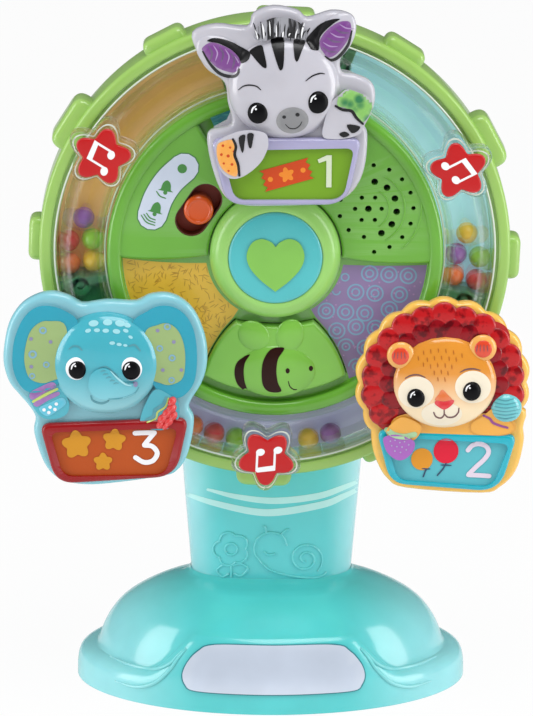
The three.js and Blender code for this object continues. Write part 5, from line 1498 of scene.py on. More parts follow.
def makeZebra():
    border = smoothLoop([
        (-35.2, 16.8), (-25.5, 20.5), (-12.8, 19.4), (-10, 25), (-1.9, 28.2), (8.1, 26.4), (12.4, 23.4),
        (21.8, 26.2), (29, 25.2), (32.2, 21.4), (30, 12.3), (26.3, 5.9), (26.9, 0.5), (31.8, -0.5),
        (38.1, -3.2), (40.7, -7.7), (40, -15), (36.3, -21.4), (37.7, -25.9), (37.2, -37.7), (34.5, -46.8),
        (29, -53.3), (20, -56.2), (-0.5, -57), (-11.8, -57), (-19, -55.1), (-23.7, -49.5), (-27.3, -38.6),
        (-29, -28.6), (-27.3, -24.5), (-19, -21.8), (-20.5, -12.3), (-21.9, -4.1), (-29.1, 1.4),
        (-32.8, 7.7)], 4)
    figure = Gondola("zebra", [border], "zebraWhite")
    figure.egg("Head", 2.9, -6.4, -54.2, 23.4, 8.8, 21.8, "zebraWhite",
               bulges=[(6.4, -20.5, 8.0, 1.5), (-9, -19, 9, 0.5), (17, -15, 9, 0.5)], squareness=2.3)
    figure.egg("EarLeft", -22.3, 7.0, -55.2, 12.6, 2.8, 7.6, "zebraWhite", -33)
    figure.egg("EarRight", 23.0, 14.6, -55.2, 12.6, 2.8, 7.6, "zebraWhite", 55)
    figure.puff("Hair", [
        (-9.8, 15.6), (-8.4, 20.4), (-3.2, 23.8), (2.6, 24.4), (8.6, 22.4), (12, 18.4), (11, 15.2),
        (6, 15.6), (0, 16), (-5, 14.6)], -55, 4.2, 3, "hairGrey")
    figure.puff("ArmLeft", [
        (-25, -28.5), (-19.5, -25), (-12.3, -23.2), (-5, -24.5), (-3.6, -29), (-4.6, -33), (-7, -37.3),
        (-11.4, -41.4), (-16, -43.8), (-20.5, -43.4), (-24, -39.2), (-25.4, -33.5)], -56, 6.2, 4.4,
        "zebraWhite")
    figure.puff("ArmRight", [
        (22, -12), (25.5, -8.6), (29, -6), (34.5, -7.5), (38.6, -10.3), (39.2, -15), (36.3, -21.2),
        (34.3, -24.9), (29, -26.8), (23, -27.2), (19, -26), (19.5, -20)], -55.2, 4.2, 3.2, "zebraWhite")
    figure.basket([(-27.6, -27), (35.3, -26.6), (29.6, -55.4), (-21, -55.6)],
                  [(-23, -32), (32.2, -30.8), (27.8, -53), (-17.4, -53.2)], "lavender", "grassField")
    tufts = []
    for i in range(zebra["tufts"]):
        x = -9.4 + 0.64 * i
        low, high = 15 + 1.2 * math.sin(i * 2.1), 19.6 + 2.6 * math.sin(i * 1.3 + 1)
        if abs(x - 1.4) < 10.6:
            tufts.append(stroke([(x, low), (x * 1.05, (low + high) / 2 + 0.3), (x * 1.14, high)],
                                0.5 + 0.25 * (i % 3 == 0), 0.3))
    figure.draw("HairDark", tufts[::2], "ink")
    figure.draw("HairLight", tufts[1::4], "whiteInk")
    figure.draw("EarPurple", [
        smoothLoop([
            (-31, 11), (-27.7, 13.2), (-23.6, 12.3), (-19, 10), (-16, 6.8), (-15, 4.5), (-16, 2.3),
            (-17.6, 0.6), (-20.5, 0.9), (-25, 2.7), (-28.6, 6.4), (-30.6, 9.1)], 4),
        smoothLoop([
            (17.7, 11.4), (17.7, 14.5), (20.5, 18.6), (25, 21.8), (29.1, 22.3), (30.3, 20.5), (30, 16.8),
            (27.7, 12.3), (24.1, 8.2), (20.9, 7), (19.1, 9)], 4)], "earPurple")
    folds = [[(x, z), (x + 1.6, z - 3), (x + 0.8, z - 6.4)] for x, z in (
        (-28.6, 11.8), (-26.4, 11.9), (-24, 11.4), (-21.6, 10.4), (-19.4, 8.8), (-17.6, 7.4))]
    folds += [[(x, z), (x + 2.8, z - 1.6), (x + 6, z - 1.8)] for x, z in (
        (18.6, 11.2), (18.8, 13.4), (20.4, 15.4), (21.8, 17.4), (23.6, 19.2), (25.6, 21))]
    figure.draw("EarFolds", [stroke(fold, 0.9, 0.3) for fold in folds[::2]], "earDeep")
    figure.draw("EarLights", [stroke(fold, 0.6, 0.3) for fold in folds[1::2]], "earLight")
    figure.draw("EarEdges", [
        smoothLoop([
            (-29, 14), (-26, 15.1), (-20.5, 14), (-15, 11.4), (-11.4, 9.1), (-11.5, 6.8), (-12.7, 5.2),
            (-15, 4.5), (-16.2, 7.2), (-19.3, 10.3), (-24, 12.7), (-27.7, 13.4)], 4),
        stroke([(-30.8, 9.4), (-27.7, 4.1), (-23.6, 0.1), (-18.6, -1.2), (-16.3, 0), (-15.8, 2)], 1.3, 0.5),
        smoothLoop([
            (12.7, 12.3), (11.8, 14.5), (14.1, 17.7), (17.7, 21.2), (22.3, 23), (25.7, 23.2), (23.2, 21.4),
            (20, 18.6), (17.6, 15.5), (17.3, 12), (16.8, 10), (14.1, 10.3)], 4),
        stroke([(30.6, 18.2), (29.1, 12.3), (25.5, 7.5), (22.3, 5.9), (19.8, 7.4)], 1.3, 0.5)], "ink")
    figure.draw("Forehead", [
        smoothLoop([
            (-11.4, 9.7), (-6.8, 12.1), (-5.5, 9), (-4.4, 3.2), (-5.5, 2.5), (-7.7, 4.5), (-10, 7.3)], 4),
        smoothLoop([
            (-2.8, 14.5), (-0.5, 15.5), (2.5, 15), (2.8, 9.5), (2.5, 3.2), (1.5, 1.5), (0.5, 2.7),
            (-1.4, 8.6)], 4),
        smoothLoop([(6.6, 13.9), (8.6, 14.5), (11.5, 13.9), (10, 9.5), (8.6, 5.7), (7.7, 5.4), (7, 7.7)],
                   4)], "ink")
    figure.draw("Brows", [
        stroke([(-16, -6.8), (-14, -5.3), (-11.5, -4.8), (-8.6, -5.3), (-6.8, -6.8)], 0.6, 0.5),
        stroke([(11.8, -3), (14.5, -0.9), (17.7, 0.2), (19.6, 0)], 0.6, 0.5)], "ink")
    figure.draw("Muzzle", [ring(6.4, -19.7, 6.7, 40, 0.82, 6)], "muzzleGrey", cell=1.2)
    figure.draw("Smile", [
        stroke([(3.5, -21.4), (5.3, -23), (7.7, -23.1), (9.4, -21.9), (10.3, -20.3)], 0.5, 0.6),
        ring(3, -18.3, 0.8, 16, 0.9), ring(8.5, -17.3, 0.9, 16, 0.9)], "ink")
    figure.draw("HoofOrange", [
        smoothLoop([
            (-24, -29.5), (-19, -28), (-17.7, -30.5), (-17.5, -34), (-16.4, -37.7), (-16.4, -43.2),
            (-18.6, -43.5), (-22.3, -41), (-24.4, -37), (-25, -32.3)], 4)], "hoofOrange")
    figure.draw("HoofOrangeDots", [
        ring(x, z, r, 10) for x, z, r in ((-22.4, -30.6, 0.6), (-19.4, -31.4, 0.5), (-23, -34.4, 0.6),
                                          (-20.2, -35, 0.7), (-22, -38.2, 0.5), (-18.6, -38.6, 0.6),
                                          (-20, -41.4, 0.5), (-18, -33, 0.4))], "ticket")
    figure.draw("HoofGreen", [
        smoothLoop([
            (25.9, -8.6), (28.6, -6.4), (34.5, -8.2), (38.6, -10.5), (39.3, -15), (35.9, -20.5),
            (32.3, -16.8), (28.6, -14.5), (25, -13.2)], 4)], "hoofGreen")
    figure.draw("ArmStripes", [
        stroke([(-18.2, -27.9), (-17, -30.9), (-17.5, -34.5), (-16.1, -38.6), (-15.5, -43.4)], 1.2, 0.8),
        smoothLoop([(-15.9, -27.3), (-13.2, -25.9), (-13.4, -29.5), (-13.9, -33.2), (-14.7, -33)], 3),
        smoothLoop([(-12.3, -25.7), (-9.7, -25.5), (-10, -28.6), (-10.6, -31.5), (-11.7, -30.9)], 3),
        stroke([(24.3, -13.6), (27.3, -15.2), (30.9, -15.7), (33, -18.6), (35.7, -21.2)], 1.3, 0.7),
        smoothLoop([(29.1, -21.5), (34.5, -22.3), (33.2, -24.5), (30.9, -25)], 3),
        smoothLoop([(25.9, -25.5), (28.2, -24.5), (30.2, -25.9), (27.7, -27)], 3)], "ink")
    edge = [(-10.6, 4.6), (-9, 3), (-10.6, 1.4), (-9, 0), (-10.6, -1.6), (-9, -3.1), (-10.6, -4.6)]
    ticket = edge + [(10.6, -4.6), (9, -3.1), (10.6, -1.6), (9, 0), (10.6, 1.4), (9, 3), (10.6, 4.6)]
    figure.draw("Ticket", [turnedOutline(ticket, *zebra["ticket"], zebra["ticketTurn"])], "ticket")
    figure.draw("TicketStar", [
        starLoop(*zebra["ticket"], 3.3, 0.6, 106), ring(-2.6, -45, 1.1, 14), ring(11, -41, 1.1, 14)],
        "ticketStar")
    figure.draw("Number", [
        [(20.7, -48.4), (22.9, -48.4), (22.9, -34.6), (20.9, -34.6), (17, -36.5), (17.6, -38),
         (20.7, -36.9)]], "numberPale")
    figure.eyes(zebra["eyes"])


elephant = {"wrinkles": [(-2.6, -5.8), (-1.6, -7.2), (-0.2, -8.6), (1.2, -10), (2.8, -11.2)],
            "eyes": [(-12.5, -4.8, 3.95), (10.2, -5, 4.1)], "eyeWhites": 0.75,
            "ruffle": [
                (27.4, -19, 2.2), (27.2, -22.2, 2.5), (25.4, -24.4, 2.4), (27.8, -25.4, 2.3),
                (23.4, -26.8, 2.4), (26, -27.8, 2.4), (22.4, -29.2, 2.0), (24.6, -29.8, 1.8)]}


def makeElephant():
    border = smoothLoop([
        (0.2, 25), (-10.3, 23.7), (-15.8, 26.8), (-23, 28.6), (-30.3, 26.8), (-36.6, 22.3), (-41.2, 14.5),
        (-43.4, 3.7), (-43.4, -3.6), (-41.2, -11), (-37.1, -16.4), (-33.4, -20.9), (-30.3, -26.3),
        (-31, -32.7), (-28.4, -42.8), (-24.8, -50), (-19.3, -54.5), (-11.2, -56.3), (0.2, -56),
        (23.4, -52.7), (29.7, -50), (33.8, -43.7), (36.1, -34.5), (36.7, -26.3), (34.7, -20.9),
        (39.7, -11.9), (42, -4.5), (42.3, 3.7), (40.7, 11.8), (37, 20.1), (31.6, 25.5), (25.2, 28),
        (17.9, 27.3), (12.5, 24.6)], 4)
    figure = Gondola("elephant", [border], "elephantBorder")
    figure.puff("EarLeft", [
        (-12, 16), (-16.8, 21.2), (-24.1, 23.7), (-30.5, 22.5), (-35.7, 16.8), (-39, 7.7), (-39.6, -2.3),
        (-37.5, -9.5), (-33.6, -13.8), (-28, -14), (-20, -10), (-14, 2)], -54.8, 3.8, 4.6, "earBlue")
    figure.puff("EarRight", [
        (11, 16), (16.8, 21.2), (22.3, 23.7), (28.6, 23), (33.6, 19), (36.8, 12.3), (38, 2.3), (37.1, -8.6),
        (33.4, -14.8), (28.6, -16.6), (21, -13), (14, 2)], -54.8, 3.8, 4.6, "earBlue")
    figure.puff("EarPatchLeft", [
        (-17, 14), (-24.1, 16.5), (-28.6, 15.5), (-32.3, 11.4), (-34.3, 4.1), (-34.5, -2.3), (-32.7, -8.2),
        (-28.6, -10.5), (-24.1, -10), (-17, -5)], -58.0, 0.8, 0.9, "earLime")
    figure.puff("EarPatchRight", [
        (16, 11), (21.4, 14.8), (25.9, 15.5), (30, 12.3), (32.5, 5.9), (33, -2.3), (31.8, -8.6),
        (27.7, -11.2), (23.2, -10.9), (16, -6)], -58.0, 0.8, 0.9, "earLime")
    figure.egg("Head", -0.4, -2.4, -55.4, 22.9, 8.2, 22.3, "elephantFace", squareness=2.3, bulges=[
        (3.5, -12.5, 8.5, 1.3), (-14, 9, 8, 0.3), (14, 9, 8, 0.3)])
    figure.puff("ArmLeft", [
        (-33, -15), (-28, -11.7), (-22.5, -9.5), (-19, -13), (-16, -19), (-17, -24), (-22, -26.3),
        (-27.5, -25.5), (-31, -21)], -55.4, 2.4, 2.6, "elephantSkin")
    figure.puff("ArmRight", [
        (20.5, -13), (27, -15.8), (30, -18.6), (30.6, -24), (28.4, -29), (23, -31), (17, -30.2),
        (14, -27.5), (16, -20)], -55.6, 3.2, 2.8, "elephantSkin")
    for i, (x, z, radius) in enumerate(elephant["ruffle"]):
        figure.egg("Ruffle%d" % i, x, z, -58.9, radius, 2.0, radius * 0.8, "ruffleRed", 52, sides=32)
    figure.puff("Trunk", [
        (-6.6, -6.6), (-2.6, -3.8), (1.2, -4.4), (4.6, -7.4), (8.2, -10), (12, -10.6), (13.6, -12),
        (12, -14.8), (7, -16.9), (1, -17.6), (-4.6, -16.4), (-7.6, -12)], -61.6, 3.3, 5.2, "elephantFace")
    figure.basket([(-28.6, -28.2), (34.6, -25.4), (29.2, -51.5), (-21.8, -54.9)],
                  [(-24, -31.6), (30, -29.6), (24.8, -50.6), (-18.6, -51.3)], "basketRed", "orangeField")
    rings = []
    for x, z, r in ((-26.8, 12.3, 1.6), (-31.2, 1.8, 1.8), (-25.5, -2.7, 1.4), (-31.5, -7.7, 1.3),
                    (25.5, 14, 1.5), (22.3, 4.5, 1.4), (27.5, 0.3, 1.5), (27.3, -9.5, 1.4)):
        rings += ringBand(x, z, r, r * 0.55)
    figure.draw("EarRings", rings, "earRing", cell=4)
    figure.draw("EarSpots", [
        ring(x, z, 0.8, 12) for x, z in ((-31.8, 8.6), (-23.6, 7.3), (-31.8, -3.6), (21.4, 12.3),
                                         (28.2, 7.3), (23.6, -5), (31.4, -5))], "earSpot", cell=4)
    figure.draw("Blotches", [
        ring(x, z, r, 18, 0.66, turn) for x, z, r, turn in ((-5.5, 15.4, 2.1, 8), (0.4, 15.8, 2.0, 0),
            (5.6, 15.4, 2.1, -8), (8.6, 14.6, 1.5, -20), (-7.8, 12.2, 1.3, 20), (-4.1, 12.4, 1.3, 0),
            (-0.4, 12.2, 1.4, 0), (4.1, 11.9, 1.6, -8), (8, 12.2, 1.2, -20), (2.3, 6.8, 1.2, 0),
            (5.2, 6.2, 1.1, -8), (7.8, 5.8, 0.9, -8), (10, 9.4, 1.0, -30))], "paleBlotch", cell=4)
    wrinkles = [
        stroke([(x, z), (x + 0.9, z + 0.5), (x + 2.1, z + 0.3)], 0.4, 0.5) for x, z in elephant["wrinkles"]]
    figure.draw("Face", [
        stroke([(-15.9, 4.2), (-14, 5.4), (-11.8, 5.1), (-10.4, 3.6)], 0.95, 0.5),
        stroke([(9.1, 5.4), (11.8, 5.9), (14.1, 3.4)], 0.95, 0.5),
        stroke([(-6.8, -16.4), (-5.9, -18.5), (-2.7, -19.7), (0, -19), (0.9, -17.8)], 0.9, 0.6),
        stroke([(0.9, -17.9), (6.8, -17.3), (11.4, -15.5), (13.4, -12.7)], 0.6, 0.6),
        stroke([(-3.6, -4.6), (-2, -3.7), (0.2, -3.8), (3.2, -6.4), (6.4, -9.6), (9.4, -11.2)], 0.5, 0.4),
        *wrinkles], "browTeal")
    figure.draw("TrunkLight", [stroke([(1.6, -5.6), (4.8, -9), (8, -11.4), (10.4, -12)], 0.8, 0.3)],
                "paleBlotch")
    figure.draw("TrunkMark", [
        smoothLoop([(11, -10.4), (12.6, -10.2), (13, -11.8), (12, -12.6), (11.2, -11.8)], 3)], "earSpot")
    figure.draw("CuffPurple", [
        smoothLoop([
            (-32.5, -15.2), (-28, -12.4), (-23, -10.4), (-21.4, -12.4), (-25.4, -14.6), (-31.6, -18.2)], 4),
        smoothLoop([
            (-31, -19.6), (-25.6, -16.6), (-20.8, -14.6), (-20.2, -16), (-24.8, -18.4), (-29.4, -21.2)],
                   4)], "cuffPurple")
    figure.draw("CuffLime", [stroke([(-31.2, -19), (-25.8, -15.8), (-21, -13.4)], 1.3, 0.8)], "cuffLime")
    figure.draw("CuffBlue", [
        smoothLoop([
            (-28.8, -22), (-24, -19.4), (-19, -17.2), (-17.3, -19.6), (-20.4, -22.6), (-25.4, -25.4)], 4)],
        "cuffBlue")
    figure.draw("CuffDots", [
        ring(x, z, 0.75, 12)
        for x, z in ((-26.6, -22.6), (-24, -21.4), (-21.4, -20), (-24.6, -23.8), (-22, -22.4))], "whiteInk")
    figure.draw("SleeveTeal", [
        stroke([(25, -17.2), (23.6, -20.4), (20.4, -22.6), (19.6, -25.4), (16.6, -27)], 1.5, 0.8)],
                "browTeal")
    figure.draw("SleeveYellow", [
        stroke([(26, -17.4), (24.6, -21.2), (21.4, -23.6), (20.6, -26.4), (17, -28.2)], 0.8, 0.8)],
                "cuffLime")
    figure.draw("Stars", [
        starLoop(-12.9, -38, 6.4, 0.7, 96), starLoop(3, -35.9, 5.0, 0.7, 84),
        starLoop(-1.8, -45.6, 4.1, 0.7, 90)], "goldStar", cell=4)
    figure.draw("Number", [
        stroke([(11.8, -32.9), (16, -32.7), (20, -32.7)], 2.1),
        stroke([(19.9, -32.8), (17.8, -35.4), (15.8, -38)], 2.1),
        stroke([(15.8, -38.2), (19.2, -38.8), (21.2, -41.8), (19.3, -45.1), (15.6, -45.8), (12, -43.7)],
               2.1)], "whiteInk")
    figure.eyes(elephant["eyes"], elephant["eyeWhites"])


lion = {"eyes": [(-11.3, -17.2, 3.85), (12.1, -14.3, 3.95)], "lobes": 15}


def makeLion():
    mane = waveRing(-0.2, -11, 35.6, 1.7, 9, 144)
    body = smoothLoop([
        (-30.2, -21.4), (-30.2, -29.2), (-29.8, -38.3), (-27.4, -46.5), (-22.9, -53.8), (-14.8, -57.9),
        (17, -60.2), (25.3, -57.4), (31.7, -50.2), (34.7, -38.3), (34.4, -31.1), (32.8, -21.4), (0, -18)],
                      4)
    figure = Gondola("lion", [mane, body], "lionBorder")
    figure.puff("Mane", [
        (-26.8, 10.4), (-23, 11.6), (-20.5, 15.9), (-16, 17.6), (-12.3, 16.8), (-9.6, 18), (-7.7, 20.5),
        (-2.6, 21.8), (2.6, 20.4), (6, 19.6), (11.4, 20.8), (15, 19), (16.8, 16.6), (21, 17), (25.4, 15),
        (27.6, 11), (27.2, 7), (30.4, 5.4), (32.6, 1.6), (33, -3.6), (30.8, -7.6), (33, -11), (33.2, -15.4),
        (29, -22), (24, -27), (0, -29), (-18.6, -27.5), (-23.4, -31), (-27.4, -29), (-29.8, -24),
        (-32.7, -19.6), (-30.6, -14.8), (-33.6, -11.6), (-34, -6), (-30.8, -1.4), (-31.2, 3), (-29, 6)],
        -55.2, 2.6, 2.4, "maneRed", 4)
    figure.puff("ManeInner", waveRing(0.2, -9.5, 24.6, 1.6, 7, 49, 0.4), -56.8, 1.7, 1.6, "maneDeep", 2)
    figure.egg("Head", 0.5, -10.6, -58.6, 21.9, 5.6, 20.0, "lionSkin", squareness=2.5,
               bulges=[(-0.5, -24, 8, 0.8)])
    for side, x, z in (("Left", -18.3, 1.3), ("Right", 16.1, 4.5)):
        figure.egg("Ear" + side, x, z, -60.4, 5.9, 2.2, 5.9, "lionEarRim", sides=40)
    for side, x, z in (("Left", -18.6, 1.0), ("Right", 16.2, 4.2)):
        figure.egg("EarFill" + side, x, z, -62.2, 3.7, 0.9, 3.8, "lionEar", sides=40)
    figure.puff("ArmLeft", [
        (-22, -28), (-17, -25), (-10, -28), (-9.5, -31.5), (-13, -35.5), (-20, -35.5), (-24, -32)], -56,
                4.6, 3, "lionArm")
    figure.puff("PawLeft", [
        (-25, -33.8), (-20, -32.6), (-15, -34), (-12, -36), (-12.6, -40), (-15.9, -43.4), (-19.5, -43.8),
        (-23.2, -40.9), (-24.8, -37.4)], -57, 4.8, 3.4, "pawPurple")
    figure.puff("ArmRight", [
        (12, -28), (17, -24.5), (22, -21), (27.5, -26), (30, -30), (27, -32.4), (20, -33), (13, -32)], -56,
        3.6, 3, "lionArm")
    figure.egg("PawRight", 26.6, -21.8, -58, 6.7, 3.8, 6.5, "pawTeal", -20)
    for i in range(lion["lobes"]):
        angle = -28 + 236 * i / (lion["lobes"] - 1)
        u, v = polar(27.2 + 0.6 * (i % 2), angle)
        figure.egg("Lobe%d" % i, -0.2 + u, -10.4 + v, -57.2, 7.4, 1.9, 6.5, "maneGlow", angle, sides=32,
                   squareness=2.3)
        if i < lion["lobes"] - 1:
            u, v = polar(21.8, angle + 8)
            figure.egg("Lock%d" % i, 0.2 + u, -9.9 + v, -58.2, 6.2, 1.6, 5.3, "maneDark", angle + 8,
                       sides=32, squareness=2.3)
    figure.puff("Chest", [
        (-22, -28), (-16, -24), (0, -24), (14, -24), (25, -23), (30, -27), (30, -32), (20, -34), (0, -34),
        (-18, -33.4)], -57.0, 2.2, 2, "lionArm")
    figure.basket([(-28.2, -30.4), (31.8, -32.6), (24.6, -58.4), (-21.8, -54.6)],
                  [(-24.6, -33.4), (28.6, -36.6), (21.6, -56), (-18.6, -52.9)], "basketAqua", "skyField")
    figure.draw("EyeAreas", [
        ring(-11.4, -14.8, 7.6, 40, 0.92, 10), ring(12.6, -12.4, 7.6, 40, 0.94, -6),
        ring(-0.4, -24.2, 8.6, 40, 0.6)], "lionCream")
    figure.draw("Dashes", [
        stroke([(x, z), (x + 0.25, z - 1.9)], 0.45, 0.4) for x, z in ((-8.6, 3.6), (-5.6, 4.2), (-2.4, 4.6),
            (0.8, 4.4), (4, 3.8), (-7, 0.6), (-4, 1.2), (-1, 1.4), (2.2, 1), (5.2, 0.6), (-5.6, -2.4),
            (-2.6, -1.8), (0.6, -2), (3.4, -2.6), (-4, -5.2), (-1, -4.8), (1.8, -5.4), (-2.4, -8),
            (0.6, -8.2), (-10.8, 1.2), (7.6, 2.4), (-8.6, -1.6))], "dashBrown", cell=4)
    figure.draw("EarHair", [
        stroke([(x + i, z + 1.6 - 0.2 * abs(i)), (x + i * 1.2, z - 1.6)], 0.4, 0.4)
        for x, z in ((-18.6, 1.6), (16.2, 4.8)) for i in (-2, -0.7, 0.7, 2)], "maneDeep")
    figure.draw("Brows", [
        stroke([(-16.1, -8.6), (-13.6, -7.3), (-10.5, -7.1), (-7.7, -8.2)], 0.7, 0.5),
        stroke([(7.1, -5.9), (9.5, -4.7), (12.7, -4.4), (15.5, -5)], 0.7, 0.5)], "browBrown")
    figure.draw("NoseBridge", [
        smoothLoop([(-0.4, -13.6), (1.8, -15.6), (3.8, -18.4), (-3.2, -18.4), (-2, -15.8)], 4)],
                "noseOrange")
    figure.draw("Nose", [
        smoothLoop([
            (-3.4, -19.8), (-2.8, -18.4), (0.6, -18.8), (4.2, -18), (4.6, -19.2), (3.2, -20.9),
            (0.6, -22.4), (-1.9, -21.1)], 4)], "noseRed", extraLift=0.1)
    figure.draw("Mouth", [
        stroke([(-3.8, -23.6), (-2.9, -25.4), (-0.9, -26.1), (0.5, -24.9), (0.6, -22.6)], 0.7, 0.8),
        stroke([(0.8, -24.4), (2.2, -25.7), (4.8, -25.5), (6.5, -23.7), (6.8, -21.8)], 0.7, 0.8)],
        "browBrown")
    figure.draw("Lace", [stroke([(-23.6, -31.4), (-20.4, -33.6), (-16, -34.4), (-11.8, -33.4)], 2.6, 0.9)],
                "lace")
    figure.draw("PawDots", [
        ring(x, z, 0.35, 8) for x, z in ((-22, -36.4), (-20, -36), (-18, -37), (-16, -36.6), (-14.2, -38),
                                         (-21.4, -38.4), (-19.2, -38.8), (-17, -39), (-15.2, -40.2),
                                         (-20, -40.8), (-17.6, -41.4))], "lavender", cell=4)
    figure.draw("SleevePurple", [
        stroke([(17.3, -25), (20, -26.4), (21.4, -28.2), (24.1, -29.4), (27.6, -30.4)], 1.1, 0.8)],
                "bandPurple")
    figure.draw("PawRidges", [
        stroke([(x0, z), (26.6, z - 0.9), (x1, z + 0.1)], 0.4, 0.4) for x0, x1, z in ((22.6, 30.4, -17.6),
            (21.4, 31.6, -19.2), (20.8, 32.4, -20.8), (20.8, 32.6, -22.4), (21.4, 32, -24),
            (22.8, 31, -25.6))], "browTeal", cell=5)
    figure.draw("BalloonOrange", [ring(-8.5, -44.4, 4.6, 32, 1.06)], "balloonOrange")
    figure.draw("BalloonRed", [ring(1.7, -40.8, 5.3, 32, 1.04)], "balloonRed")
    figure.draw("Strings", [
        stroke([(1.8, -46.2), (0.6, -48.6), (-1.8, -51.6)], 0.6),
        stroke([(-0.4, -47), (4, -47.2)], 0.6, 0.5),
        stroke([(-6.6, -48.8), (-7.2, -50.4), (-7.8, -52.2)], 0.6),
        stroke([(-8.4, -48.6), (-5, -48.8)], 0.6, 0.5)], "navyInk")
    figure.draw("Number", [
        stroke([(11, -40.4), (12.8, -38.3), (15.6, -37.6), (18.6, -38.6), (19.8, -41.2), (18.2, -44.2),
                (14.6, -47.8), (11.6, -51)], 2.0),
        stroke([(11.4, -51.4), (16, -51.6), (20.2, -51.9)], 2.0)], "palePink")
    figure.eyes(lion["eyes"])


makeZebra()
makeElephant()
makeLion()
print("gondolas made")


# Label, folds and pictures of the base and neck, drawn where the camera sees them on a sheet at y = -56
stand = {"sheet": -56, "sheetRise": 41.4, "foldRadius": 0.9, "reliefRadius": 0.55,
         "foldUpper": [(70, -14.4), (62, -18.2), (52, -20.2), (45, -18), (40.5, -13.4), (37.6, -10.4)],
         "foldLower": [(68, -25.6), (59, -28.2), (51, -26.4), (44.6, -20.6), (40.6, -14.8), (37.4, -11)],
         "stripes": [
             [(-28.3, 56.9), (-15.3, 53.6), (0.3, 51.9), (18, 53.9), (29.2, 57.8), (37.4, 61.6)],
             [(-37.2, 54.8), (-26.4, 51.1), (-9.7, 47.2), (2.5, 46.9), (20.8, 50.3), (29.2, 53.9),
              (36.4, 57.6)]], "stripeRise": 4.2, "flower": (-18.3, 34.4), "snail": (13.4, 30)}


# A raised line along paths on a surface, sunk in by a share of its thickness and thinner at its ends
def ridge(name, paths, radius, target, finish, sink, taper=0.35):
    curve = bpy.data.curves.new(name, "CURVE")
    curve.dimensions = "3D"
    curve.bevel_depth = radius * mm
    curve.bevel_resolution = 3
    curve.use_fill_caps = True
    eye = cameraPlace()
    for knots in paths:
        spots = []
        for x, z in smoothPath(knots, 8):
            aim = Vector((x, stand["sheet"], z + stand["sheetRise"])) * mm
            spot, normal, index, distance = target.ray_cast(eye, (aim - eye).normalized())
            if spot is not None:
                spots.append(spot + (normal if normal.y < 0.2 else -normal) * radius * (1 - 2 * sink) * mm)
        spline = curve.splines.new("POLY")
        spline.points.add(len(spots) - 1)
        for k, (point, spot) in enumerate(zip(spline.points, spots)):
            point.co = (*spot, 1)
            share = abs(2 * k / (len(spots) - 1) - 1)
            point.radius = 1 - (1 - taper) * share ** 3
    asPiece(name, finished(meshedCurve(curve), name), finish, "stand", 60)


def onStand(name, outlines, target, finish, **options):
    outlines = [shifted(o, 0, stand["sheetRise"]) for o in outlines]
    return printed(name, outlines, target, stand["sheet"], finish, "stand", **options)


label = {"outline": [
    (-25, -9.3), (0, -9.7), (26, -9.3), (32.5, -12), (37, -17), (39, -22.5), (37.8, -27), (34.5, -29.7),
    (20, -31.1), (0, -31.7), (-20, -31.1), (-34, -29.7), (-37.6, -27), (-38.7, -22.5), (-36.6, -17),
    (-32, -12)], "middle": -20.5, "rimWide": 1.016, "rimTall": 1.05}


def makeLabel():
    target = surfaceOf(baseShell)
    outline, middle = smoothLoop(label["outline"], 5), label["middle"]
    rim = [(x * label["rimWide"], middle + (z - middle) * label["rimTall"]) for x, z in outline]
    for name, loop, finish, lift, thickness in (("labelEdge", rim, "labelLine", 0.7, 0.9),
                                                ("labelPlate", outline, "silver", 1.1, 1.2)):
        piece = onStand(name, [loop], target, finish, lift=lift, thickness=thickness, cell=3)
        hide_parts("base_label_plate")


def makeFolds():
    target = surfaceOf(baseShell)
    for side, name in ((-1, "Left"), (1, "Right")):
        for level in ("Upper", "Lower"):
            path = [(side * x, z) for x, z in stand["fold" + level]]
            ridge("fold" + level + name, [path], stand["foldRadius"], target, "aqua", 0.42)


def makeNeckPictures():
    target = surfaceOf(neckFront)
    # Two raised bands across the neck's front; their pale colour is a painted highlight
    stripes = [
        stroke(knots, width, taper, 10)
        for knots, width, taper in zip(stand["stripes"], (2.9, 3.2), (0.4, 0.5))]
    stripes = [shifted(loop, 0, stand["stripeRise"]) for loop in stripes]
    onStand("neckStripes", stripes, target, "highlightAqua", lift=0.12, thickness=0.4, cell=2)
    x, z = stand["flower"]
    petals, core = waveRing(x, z, 6.2, 1.5, 2.5, 60), ring(x, z, 2.6, 20)
    leaves = [[(-0.6, -7.4), (-3.4, -7.2), (-6, -9.6), (-3.6, -12.4), (-0.8, -11)],
              [(0.8, -7.4), (4.2, -6.6), (7, -8.8), (4.4, -12), (1, -11)], [(0, -7), (0.1, -12.6)]]
    flower = [petals + petals[:1], core + core[:1], *(shifted(leaf, x, z) for leaf in leaves)]
    ridge("neckFlower", flower, stand["reliefRadius"], target, "aquaNeck", 0.3, 0.8)
    x, z = stand["snail"]
    spiral = [
        (x + (7.6 - 0.19 * k) * math.cos(0.35 * k - 0.8), z + (7.6 - 0.19 * k) * math.sin(0.35 * k - 0.8))
        for k in range(36)]
    head = [(-5.6, 28.4), (-8.4, 33), (-7.4, 38.6), (-2.6, 41.8), (3.2, 40.6), (5.6, 36)]
    foot = [(-5.6, 28.4), (-2, 25.2), (4.2, 23), (12.5, 21.6), (19, 21.8), (22.4, 24)]
    horns = [[(-3.4, 41.8), (-3.8, 44.2), (-4.6, 45)], [(3, 40.8), (5, 43), (6.4, 43.2)]]
    smile = [(-4.4, 33.4), (-2.4, 31.8), (0.4, 32.4)]
    ridge("neckSnail", [spiral, head, foot, *horns, smile], stand["reliefRadius"], target, "aquaNeck", 0.3,
          0.8)


# Rear housing: a shallow drum with a battery door
housing = {"radius": 70, "front": -13.5, "back": 20.5, "inner": 18.3, "wall": 2.2, "doorWidth": 58,
           "doorHeight": 34, "doorDrop": 10, "doorThickness": 2.2, "gap": 0.3, "screwRise": 2.8,
           "screwRadius": 2.6, "bay": [(-23, -22), (23, -22), (23, 2), (-23, 2)]}


